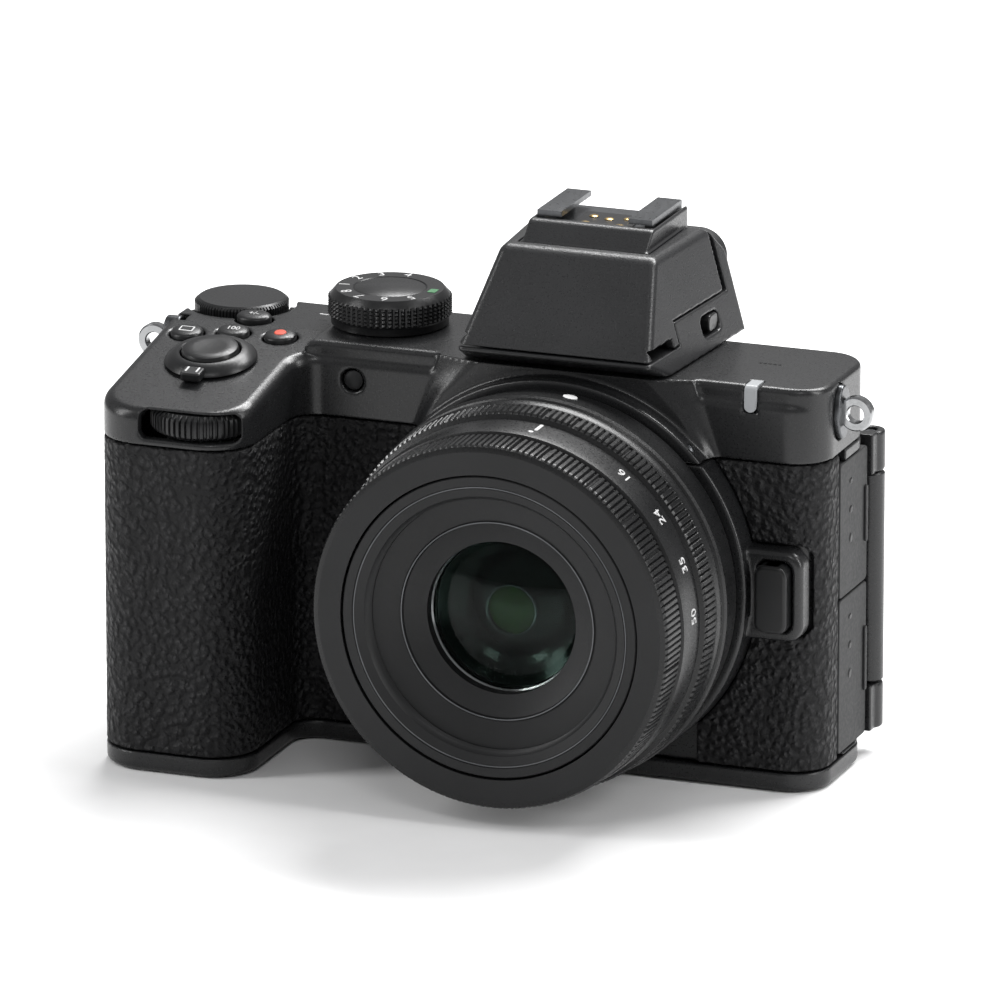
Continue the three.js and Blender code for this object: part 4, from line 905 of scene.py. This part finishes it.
def around(turn, y, radius):
    """A frame on a ring's surface, so many degrees clockwise from the top, seen from the front."""
    about = Matrix.Translation((0, 0, AXIS_Z)) @ Matrix.Rotation(math.radians(turn), 4, "Y")
    return about @ Matrix.Translation((0, y, radius))


def ring_mark(name, text, turn, y, radius, size):
    place = around(turn, y, radius) @ Matrix.Rotation(math.pi, 4, "Z")
    lettering(name, text, size, place, WHITE, "zoom_ring", 0.2)


def make_barrel():
    y0, y1 = BARREL_LO[1], -16.3
    front = -25.4
    profile = [
        (25.8 - 2, BARREL_HI[1]), (25.8, BARREL_HI[1]), (25.8, y1), (33.6, y1), (34.1, y1 - 0.5),
        (35.1, front + 2.2), (35.2, front + 0.9), (34.9, front + 0.3), (34.5, front), (SLEEVE, front),
        (SLEEVE, y0), (SLEEVE - 1.6, y0), (SLEEVE - 1.6, y1 - 4), (23.8, y1 - 4),
    ]
    finish(
        "lens_barrel_turned", on_axis(profile, 240), LENS, "lens", ("lens_barrel",),
        smooth=25
    )
    dot = slab(oval(1.3, 1.1, 24), 0, 0.3)
    turned_to(dot, around(8, front + 4.6, 34.6))
    finish("barrel_index", dot, WHITE, "lens")
    line = slab(round_rect(-0.3, 0.3, -1.7, 1.7, 0.25), 0, 0.2)
    turned_to(line, around(8, ZOOM_LO[1] + 5.0, 33.2))
    finish("zoom_index_line", line, WHITE, "zoom_ring")
    spot = slab(oval(0.45, 0.45, 20), 0, 0.2)
    turned_to(spot, around(7.2, ZOOM_LO[1] + 2.3, 33.15))
    finish("zoom_index_spot", spot, WHITE, "zoom_ring")
    mark = lathe([(0, 0.5), (0.7, 0.35), (1.0, 0), (0, 0)], 24)
    turned_to(mark, around(44, COLLAR_FRONT + 1.6, COLLAR - 0.1))
    finish("mount_index", mark, STEEL, BODY, smooth=40)


def make_inner_barrel():
    y = LENS_FRONT + 0.2
    hi = limits("inner_barrel")[1]
    threads = []
    for k in range(4):
        threads += [(22.9, y + 1.3 + 0.4 * k), (22.6, y + 1.5 + 0.4 * k)]
    profile = [
        (INNER - 1.6, hi[1]), (INNER, hi[1]), (INNER, y + 0.2), (INNER - 0.2, y), (25.3, y),
        (25.15, y + 0.25), (24.9, y + 0.25), (24.8, y + 0.1), (23.3, y + 0.7), *threads, (22.5, y + 3.0),
        (18.0, y + 4.3), (17.8, y + 4.1), (17.55, y + 4.1), (17.4, y + 4.6), (14.4, y + 6.0),
        (13.7, y + 6.2), (13.7, y + 12), (INNER - 1.6, y + 12),
    ]
    bm = on_axis(profile, 220)
    finish("inner_barrel_turned", bm, LENS_FACE, "inner_barrel", ("inner_barrel",), smooth=25)
    for name, radius, depth in (("rim_line_outer", 25.0, 0.2), ("rim_line_inner", 17.68, 4.06)):
        low, high, face = radius - 0.09, radius + 0.09, y + depth
        ring = on_axis([(low, face), (high, face), (high, face + 0.1), (low, face + 0.1)], 180)
        finish(name, ring, STEEL, "inner_barrel", smooth=35)


def dome(radius, rise, y, back, sides=96, steps=14):
    """A lens element: a spherical front face of a given rise, its edge and a flat back."""
    points = []
    for s in range(steps + 1):
        r = radius * s / steps
        points.append((r, y + rise * (r / radius) ** 2))
    return on_axis([*points, (radius, back), (0, back)], sides)


def meniscus(radius, rise, thickness, y, sides=120, steps=16):
    """A thin curved element, its back parallel to its front."""
    front = [(radius * k / steps, y + rise * (k / steps) ** 2) for k in range(steps + 1)]
    return on_axis(front + [(r, depth + thickness) for r, depth in reversed(front)], sides)


def make_glass():
    y = limits("front_glass")[0][1]
    finish(
        "front_element", meniscus(13.3, 2.3, 0.7, y), CLEAR_GLASS, "inner_barrel",
        ("front_glass",)
    )
    rim = on_axis([(13.4, y + 2.4), (13.45, y + 1.5), (14.3, y + 0.5), (14.4, y + 2.4)], 120)
    finish("glass_retainer", rim, RIM, "inner_barrel", smooth=35)
    steps = ((13.3, 11.8, 3.4), (11.8, 10.2, 4.3), (10.2, 8.9, 5.1))
    for i, (outer, inner, depth) in enumerate(steps):
        ring = on_axis([(inner, y + depth + 0.9), (outer, y + depth), (outer, y + depth + 1.6),
                        (inner, y + depth + 1.6)], 96)
        finish(f"glass_step_{i}", ring, GLASS, "inner_barrel", smooth=35)
    deep = dome(9.2, 2.2, y + 4.4, y + 7.4)
    finish("second_element", deep, DEEP_GLASS, "inner_barrel")
    iris = on_axis([(4.3, y + 4.15), (4.7, y + 4.0), (5.0, y + 4.4), (5.0, y + 4.9), (4.3, y + 4.9)], 96)
    finish("aperture_rim", iris, RIM, "inner_barrel", smooth=35)
    pupil = dome(4.3, 0.9, y + 3.95, y + 5.2, 64)
    finish("aperture_element", pupil, INNER_GLASS, "inner_barrel")
    back = on_axis([(0, y + 9.4), (13.3, y + 9.4), (13.3, y + 9.8), (0, y + 9.8)], 48)
    finish("glass_backing", back, LENS, "inner_barrel", smooth=35)


CLEAR_GLASS = coated_glass("clear_element", (0.75, 0.95, 0.88), 0.0, 1.0)


# ---- dials


def knob_from(name, node, profile, sides, material, rule=None):
    c = centre(node)
    bm = moved(lathe(profile, sides, "z", rule), (c[0], c[1], 0))
    return finish(name, bm, material, node, (node,), smooth=32)


def make_mode_dial():
    lo, hi = limits("mode_dial")
    c = centre("mode_dial")
    z0, top, radius = SHOULDER + 0.3, hi[2], (hi[0] - lo[0]) / 2
    rows = 11
    wall_points = [(radius - 0.4, z0 + 1.5 + (top - z0 - 2.7) * k / (rows - 1)) for k in range(rows)]
    profile = [
        (0, lo[2]), (3, lo[2]), (3, z0), (radius - 0.6, z0), (radius - 0.6, z0 + 1.1),
        (radius - 0.5, z0 + 1.3), *wall_points, (radius - 0.5, top - 1.0), (radius - 1.4, top),
        (6.6, top), (6.4, top - 0.18), (6.1, top), (0, top),
    ]
    count = 60

    def rule(i, turn, r):
        if 6 <= i < 6 + rows and (i - 6) % 2 == 1:
            phase = (turn * count / (2 * math.pi)) % 1
            return r + 0.6 * (1 - 2 * abs(phase - 0.5)) - 0.15
        return r

    knob_from("mode_dial_knurled", "mode_dial", profile, count * 4, KNOB, rule)
    reach = 8.1  # from the dial's axis to its figures
    turns = (100, 66, 32, 358, 228, 194, 160, 132)
    for text, turn in zip("12345678", turns):
        a = math.radians(turn)
        place = Matrix.Translation((c[0] - reach * math.sin(a), c[1] + reach * math.cos(a), top + 0.02))
        place = place @ Matrix.Rotation(a, 4, "Z")
        lettering("mode_mark_" + text, text, 2.8, place, WHITE, "mode_dial", 0.08)
    a = math.radians(270)
    box_ = slab(round_rect(-1.1, 1.1, -0.75, 0.75, 0.25), 0, 0.07)
    spot = (c[0] - reach * math.sin(a), c[1] + reach * math.cos(a), top)
    place = Matrix.Translation(spot) @ Matrix.Rotation(a, 4, "Z")
    finish("mode_mark_auto", turned_to(box_, place), GREEN_MARK, "mode_dial")
    post_ = slab(round_rect(-0.2, 0.2, -0.9, 0.9, 0.15), 0, 0.08)
    turned_to(post_, Matrix.Translation((c[0] - 12.6, c[1] + 0.5, SHOULDER)) @ Matrix.Rotation(1.5, 4, "Z"))
    finish("mode_pointer", post_, WHITE, BODY)


def make_rear_dial():
    lo, hi = limits("rear_dial")
    top, radius = hi[2], (hi[0] - lo[0]) / 2
    z0 = top - 2.8
    profile = [
        (0, lo[2]), (2, lo[2]), (2, z0), (radius - 0.3, z0), (radius - 0.02, z0 + 0.2),
        (radius - 0.02, top - 0.7), (radius - 0.5, top - 0.25), (radius - 0.9, top), (2.5, top),
        (0, top),
    ]
    knob_from("rear_dial_ribbed", "rear_dial", profile, 84 * 4, KNOB, ribs((4, 5), 84, 0.35))


def make_front_dial():
    lo, hi = limits("front_dial")
    radius = (hi[0] - lo[0]) / 2
    profile = [
        (0, lo[2]), (radius - 1.1, lo[2]), (radius - 0.15, lo[2] + 0.7), (radius, lo[2] + 1.3),
        (radius, hi[2] - 1.3), (radius - 0.15, hi[2] - 0.7), (radius - 1.1, hi[2]), (0, hi[2]),
    ]
    knob_from("front_dial_ribbed", "front_dial", profile, 54 * 6, KNOB, ribs((2, 3, 4, 5), 54, 0.5))


def make_diopter():
    lo, hi = limits("diopter_dial")
    c = centre("diopter_dial")
    radius, length = (hi[1] - lo[1]) / 2, hi[0] - lo[0]
    profile = [(0, 0), (radius - 0.5, 0), (radius, 0.4), (radius, length), (0, length)]
    bm = lathe(profile, 30 * 4, "x", ribs((2, 3), 30, 0.3))
    bm = turned_to(bm, Matrix.Translation((lo[0], c[1], c[2])))
    finish("diopter_knob", bm, KNOB, "diopter_dial", ("diopter_dial",), smooth=32)


# ---- buttons


def stadium(profile, half_x, half_y, sides=48):
    """A domed oval: a profile of (share of radius, height)."""
    bm = lathe(profile, sides)
    bmesh.ops.scale(bm, verts=bm.verts, vec=Vector((half_x, half_y, 1)))
    return bm


CAP = [(0, -2.6), (1, -2.6), (1, 0.35), (0.93, 0.62), (0.78, 0.76), (0.5, 0.84), (0, 0.88)]


def make_top_buttons():
    for node in ("record_button", "iso_button", "picture_button", "exposure_button"):
        c = centre(node)
        half = half_width(node)
        half_y = half * (0.7 if node == "exposure_button" else 0.86 if node == "iso_button" else 0.94)
        place = to_slope(c[0], c[1])
        bm = turned_to(stadium(CAP, half, half_y), place)
        finish(node + "_cap", bm, KNOB, node, (node,), smooth=40)
    c = centre("record_button")
    dot = stadium([(0, 0), (1, 0), (0.9, 0.12), (0, 0.16)], 1.1, 1.1, 32)
    turned_to(dot, to_slope(c[0], c[1], 0.86))
    finish("record_dot", dot, RED_MARK, "record_button", smooth=40)
    for node, text in (("iso_button", "100"), ("exposure_button", "+/-")):
        c = centre(node)
        lettering(node + "_mark", text, 1.7, to_slope(c[0], c[1], 0.9), WHITE, node, 0.08)
    c = centre("picture_button")
    frame_ = slab(round_rect(-1.3, 1.3, -0.9, 0.9, 0.2), 0, 0.08)
    finish(
        "picture_mark", turned_to(frame_, to_slope(c[0], c[1], 0.84)), WHITE, "picture_button",
    )
    inset = slab(round_rect(-1.05, 1.05, -0.65, 0.65, 0.15), 0, 0.12)
    finish(
        "picture_mark_inset", turned_to(inset, to_slope(c[0], c[1], 0.84)), KNOB, "picture_button",
    )


def make_shutter():
    c = centre("shutter_button")
    place = to_slope(c[0], SHUTTER_Y)
    r = 5.1
    profile = [
        (0, -1.6), (r, -1.6), (r, 2.1), (r - 0.25, 2.6), (r - 0.9, 2.85), (r - 2.4, 2.8), (1.5, 2.72),
        (0, 2.7),
    ]
    finish(
        "shutter_button_cap", turned_to(lathe(profile, 96), place), KNOB, "shutter_button",
        ("shutter_button",), smooth=40
    )
    ring = [(5.4, 0.3), (8.0, 0.3), (8.2, 0.5), (8.0, 0.9), (7.0, 1.7), (6.2, 2.05), (5.6, 2.1), (5.4, 1.9)]
    finish(
        "power_collar", turned_to(lathe(ring, 120), place), KNOB, "power_switch",
        ("power_switch",)
    )
    lever = slab(round_rect(-1.9, 1.9, -10.2, -7.0, 0.7), 0.5, 2.1)
    rounded(finish("power_lever", turned_to(lever, place), KNOB, "power_switch"), 0.35)
    for side in (-1, 1):
        mark = slab(round_rect(-0.16, 0.16, -0.9, 0.9, 0.1), 0, 0.08)
        at = place @ Matrix.Translation((side * 1.0, -8.4, 2.1))
        finish(f"power_mark_{side + 1}", turned_to(mark, at), WHITE, "power_switch")


def make_rear_controls():
    for node in REAR_BUTTONS:
        c = centre(node)
        half = half_width(node)
        dome_ = [(0, -2.4), (1, -2.4), (1, 0.5), (0.9, 0.78), (0.6, 0.88), (0, 0.9)]
        bm = turned_to(stadium(dome_, half, half), to_rear(c[0], REAR, c[2]))
        finish(node + "_cap", bm, KNOB, node, (node,), smooth=40)
    marks = (("display_button", "#"), ("info_button", "*"), ("zoom_in_button", "+"), ("zoom_out_button", "-"),
             ("menu_button", "="), ("playback_button", ">"), ("delete_button", "/"))
    for node, text in marks:
        c = centre(node)
        place = to_rear(c[0], REAR + 0.88, c[2])
        lettering(node + "_mark", text, 2.4, place, WHITE, node, 0.1)
    c = centre("multi_selector")
    ring = [(4.2, -0.7), (9.2, -0.7), (9.2, 0.7), (8.8, 1.1), (8.0, 1.2), (5.2, 0.75), (4.5, 0.7), (4.2, 0.5)]
    finish(
        "selector_pad", turned_to(lathe(ring, 96), to_rear(c[0], REAR, c[2])), KNOB, "multi_selector",
        ("multi_selector",), smooth=35
    )
    ok = [(0, -2.4), (3.9, -2.4), (3.9, 1.1), (3.6, 1.4), (2.6, 1.5), (0, 1.5)]
    finish(
        "ok_cap", turned_to(lathe(ok, 64), to_rear(c[0], REAR, c[2])), KNOB, "ok_button",
        ("ok_button",), smooth=35
    )
    for k in range(4):
        turn = k * math.pi / 2
        tri = slab([(-0.7, 0), (0.7, 0), (0, 0.9)], 0, 0.1)
        spin = Matrix.Rotation(turn, 4, "Z") @ Matrix.Translation((0, 6.7, 0))
        place = to_rear(c[0], REAR + 1.0, c[2]) @ spin
        finish(
            f"selector_arrow_{k}", turned_to(tri, place), WHITE, "multi_selector",
            smooth=None
        )


# ---- fittings


def make_shoe():
    floor_top = 94.0
    pad = slab(round_rect(-5.4, 5.4, 6.0, 15.5, 0.8), floor_top + 0.01, floor_top + 0.16)
    finish("shoe_insulator", pad, KNOB, BODY)
    for i, (x, y) in enumerate(((0, 11.6), (-3.2, 8.0), (3.2, 8.0), (-3.2, 12.6), (3.2, 12.6))):
        stud_ = lathe([(0, 0), (0.85, 0), (0.85, 0.1), (0.6, 0.24), (0, 0.28)], 28)
        turned_to(stud_, Matrix.Translation((x, y, floor_top + 0.16)))
        finish(f"shoe_contact_{i}", stud_, GOLD, BODY, smooth=40)


def make_ports():
    for node in ("upper_port_cover", "lower_port_cover"):
        lo, hi = limits(node)
        outline = round_rect(lo[1], hi[1], lo[2], hi[2], 1.0)
        bm = turned_to(slab(outline, 0, hi[0] - lo[0]), to_right(lo[0], 0, 0))
        rounded(finish(node + "_flap", bm, RUBBER, node, (node,)), 0.25)
        middle, span = (lo[2] + hi[2]) / 2, (hi[2] - lo[2]) * 0.42
        ridge = slab(round_rect(hi[1] - 1.7, hi[1] - 0.5, middle - span / 2, middle + span / 2, 0.5), 0, 0.5)
        piece = finish(
            node + "_finger_ridge", turned_to(ridge, to_right(hi[0] - 0.1, 0, 0)), RUBBER, node,
        )
        rounded(piece, 0.18)
        for k in range(3):
            z = hi[2] - 4.2 - 5.2 * k
            icon = slab(oval(0.9, 0.55 + 0.15 * k, 20), 0, 0.05)
            turned_to(icon, to_right(hi[0], (lo[1] + hi[1]) / 2 - 1.5, z))
            finish(f"{node}_icon_{k}", icon, KNOB, node, smooth=None)


def make_lugs():
    for node, side in (("strap_lug_left", -1), ("strap_lug_right", 1)):
        lo, hi = limits(node)
        c = centre(node)
        outer = hi[0] if side > 0 else lo[0]
        edge = RIGHT if side > 0 else LEFT
        ring = lathe([(1.5, -0.75), (1.7, -1.0), (2.8, -1.0), (3.1, -0.7), (3.1, 0.7), (2.8, 1.0), (1.7, 1.0),
                      (1.5, 0.75)], 72, "y")
        ring = moved(ring, (outer - side * 3.1, c[1], c[2]))
        finish(node + "_eyelet", ring, CHROME, BODY, (node,), smooth=35)
        boss = slab(oval(3.0, 4.8, 64), -1.9, 0.9)
        flip = Matrix.Identity(4) if side > 0 else Matrix.Rotation(math.pi, 4, "Y")
        place = to_right(edge, c[1], c[2]) @ flip
        rounded(finish(node + "_boss", turned_to(boss, place), STEEL, BODY, smooth=35), 0.35)


def make_tally():
    lo, hi = limits("tally_light")
    mid = (lo[0] + hi[0]) / 2
    half, stand, bend = (hi[0] - lo[0]) / 2 - 0.05, 0.08, 1.1
    outer = [(BODY_FRONT - stand, lo[2] + 0.9)]
    for k in range(9):
        a = math.pi / 2 * k / 8
        along = BODY_FRONT + bend - (bend + stand) * math.cos(a)
        outer.append((along, SHOULDER - bend + (bend + stand) * math.sin(a)))
    outer.append((hi[1], SHOULDER + stand))
    inner = [(hi[1], SHOULDER - 0.7), (BODY_FRONT + 0.7, SHOULDER - 0.7), (BODY_FRONT + 0.7, lo[2] + 0.9)]
    bar = slab([(-x, y) for x, y in reversed(outer + inner)], -half, half)
    turned_to(bar, Matrix(((0, 0, 1, mid), (-1, 0, 0, 0), (0, 1, 0, 0), (0, 0, 0, 1))))
    bmesh.ops.recalc_face_normals(bar, faces=bar.faces)
    finish("tally_bar", bar, MILK, BODY, ("tally_light",), smooth=35)
    foot = turned_to(slab(oval(half, 0.95, 32), 0, 0.75), to_front(mid, BODY_FRONT + 0.68, lo[2] + 0.95))
    finish("tally_foot", foot, MILK, BODY, smooth=35)


def make_release():
    lo, hi = limits("lens_release")
    x1 = hi[0]
    c = centre("lens_release")
    key = slab(round_rect(x1 - 6.0, x1, -6.1, 6.1, 1.8), 0, 5.0)
    turned_to(key, to_front(0, lo[1] + 5.0, c[2]))
    rounded(finish("release_key", key, KNOB, "lens_release"), 0.7, 4)


def make_monitor():
    lo, hi = limits("monitor_frame")
    g_lo, g_hi = limits("monitor_glass")
    right = 42.9
    panel = turned_to(slab(round_rect(-right, -lo[0], lo[2], hi[2], 3.0), 0, hi[1] - lo[1] - 1.1),
                      to_rear(0, lo[1], 0))
    rounded(finish("monitor_back", panel, SATIN, "monitor", ("monitor_frame",)), 0.7, 4)
    rim_outer = round_rect(-right, -lo[0], lo[2], hi[2], 3.0, 8)
    rim_inner = round_rect(-g_hi[0] - 0.3, -g_lo[0] + 0.3, g_lo[2] - 0.3, g_hi[2] + 0.3, 1.2, 8)
    bm = bmesh.new()
    rings = []
    for outline, z in ((rim_outer, 0), (rim_outer, 1.0), (rim_inner, 1.2), (rim_inner, 0)):
        rings.append([bm.verts.new((x, y, z)) for x, y in outline])
    for a, b in zip(rings, rings[1:] + rings[:1]):
        for i in range(len(a)):
            j = (i + 1) % len(a)
            bm.faces.new((a[i], a[j], b[j], b[i]))
    turned_to(bm, to_rear(0, hi[1] - 1.15, 0))
    rounded(finish("monitor_rim", bm, SATIN, "monitor"), 0.3)
    pin = centre("monitor_hinge_pin")
    low, high = HINGE_LOW, HINGE_HIGH
    arm = lathe([(1.25, low), (2.3, low), (2.6, low + 0.3), (2.6, high - 0.3), (2.3, high), (1.25, high)], 64)
    finish("monitor_hinge_arm", moved(arm, (pin[0], pin[1], 0)), SATIN, "monitor", smooth=35)
    web = block((right - 1.0, pin[1] - 1.0, low + 0.4), (pin[0] - 1.6, hi[1] - 0.6, high - 0.4))
    rounded(finish("monitor_hinge_web", web, SATIN, "monitor"), 0.3)
    glass = slab(round_rect(-g_hi[0], -g_lo[0], g_lo[2], g_hi[2], 1.0), 0, g_hi[1] - g_lo[1])
    piece = finish(
        "monitor_pane", turned_to(glass, to_rear(0, g_lo[1], 0)), SCREEN, "monitor",
        ("monitor_glass",)
    )
    rounded(piece, 0.15)


def make_small_parts():
    c = centre("focus_lamp")
    lamp = lathe([(0, 0), (1.0, 0.1), (1.75, 0.5), (1.75, 2.0), (0, 2.0)], 48, "y")
    bmesh.ops.scale(lamp, verts=lamp.verts, vec=Vector((1, -1, 1)))
    finish(
        "focus_lamp_lens", moved(lamp, (c[0], BODY_FRONT + 0.15, c[2])), RUBBER, BODY,
        ("focus_lamp",), smooth=40
    )
    f_lo, f_hi = limits("flash_release")
    key = slab(round_rect(f_lo[1], f_hi[1], f_lo[2], f_hi[2], 1.2), 0, f_hi[0] - f_lo[0])
    piece = finish(
        "flash_slider", turned_to(key, to_right(f_lo[0], 0, 0)), KNOB, "flash_release",
        ("flash_release",)
    )
    rounded(piece, 0.3)
    d_lo, d_hi = limits("battery_door")
    door = slab(round_rect(d_lo[0], d_hi[0], d_lo[1], d_hi[1], 2.0), d_lo[2], d_hi[2])
    rounded(finish("battery_lid", door, SATIN, "battery_door", ("battery_door",)), 0.3)
    latch = slab(round_rect(d_lo[0] + 2.5, d_lo[0] + 5.5, -18, -10, 1.2), 0.02, 0.5)
    finish("battery_latch", latch, KNOB, "battery_door")
    t = centre("tripod_socket")
    t_hi = limits("tripod_socket")[1]
    threads = [(3.2 + 0.25 * (k % 2), 0.5 + 0.5 * k) for k in range(10)]
    top = t_hi[2]
    profile = [(5.8, 0.3), (5.5, 0.0), (3.6, 0.0), *threads, (3.2, 5.5), (0, 5.5), (0, top), (5.8, top)]
    finish(
        "tripod_bush", moved(lathe(profile, 96), (t[0], t[1], 0)), STEEL, BODY,
        ("tripod_socket",)
    )
    for k in range(5):
        # Thin dark discs on the shoulder, no holes cut: painted shade standing for the microphone holes.
        hole = lathe([(0, 0), (0.33, 0), (0.33, 0.04), (0, 0.04)], 16)
        moved(hole, (30.6 + 0.9 * k, 4.9, SHOULDER + 0.01))
        finish(f"microphone_hole_painted_shade_{k}", hole, LENS, BODY)


for make in (
    make_covers, make_control_ring, make_zoom_ring, make_barrel, make_inner_barrel, make_glass,
    make_mode_dial, make_rear_dial, make_front_dial, make_diopter, make_top_buttons, make_shutter,
    make_rear_controls, make_shoe, make_ports, make_lugs, make_tally, make_release, make_monitor,
    make_small_parts,
):
    make()

NODE_FINISH = {
    "satin_black": SATIN,
    "leather_black": LEATHER,
    "rubber_black": RUBBER,
    "knob_black": KNOB,
    "lens_black": LENS,
    "chrome": CHROME,
    "steel": STEEL,
    "coated_glass": GLASS,
    "clear_glass": WINDOW,
    "display_glass": SCREEN,
    "circuit_board": BOARD,
    "magnesium": CAST,
    "pack_plastic": PACK,
    "lamp_plastic": MILK,
}


def dress_cad_nodes():
    """Gives every CAD node that still shows the finish of its slot."""
    slots = {row["node"]: row["material_slot"] for row in frame["record"]["subparts"]}
    for name, node in frame["nodes"].items():
        node.data.materials.clear()
        node.data.materials.append(NODE_FINISH[slots[name]])


dress_cad_nodes()
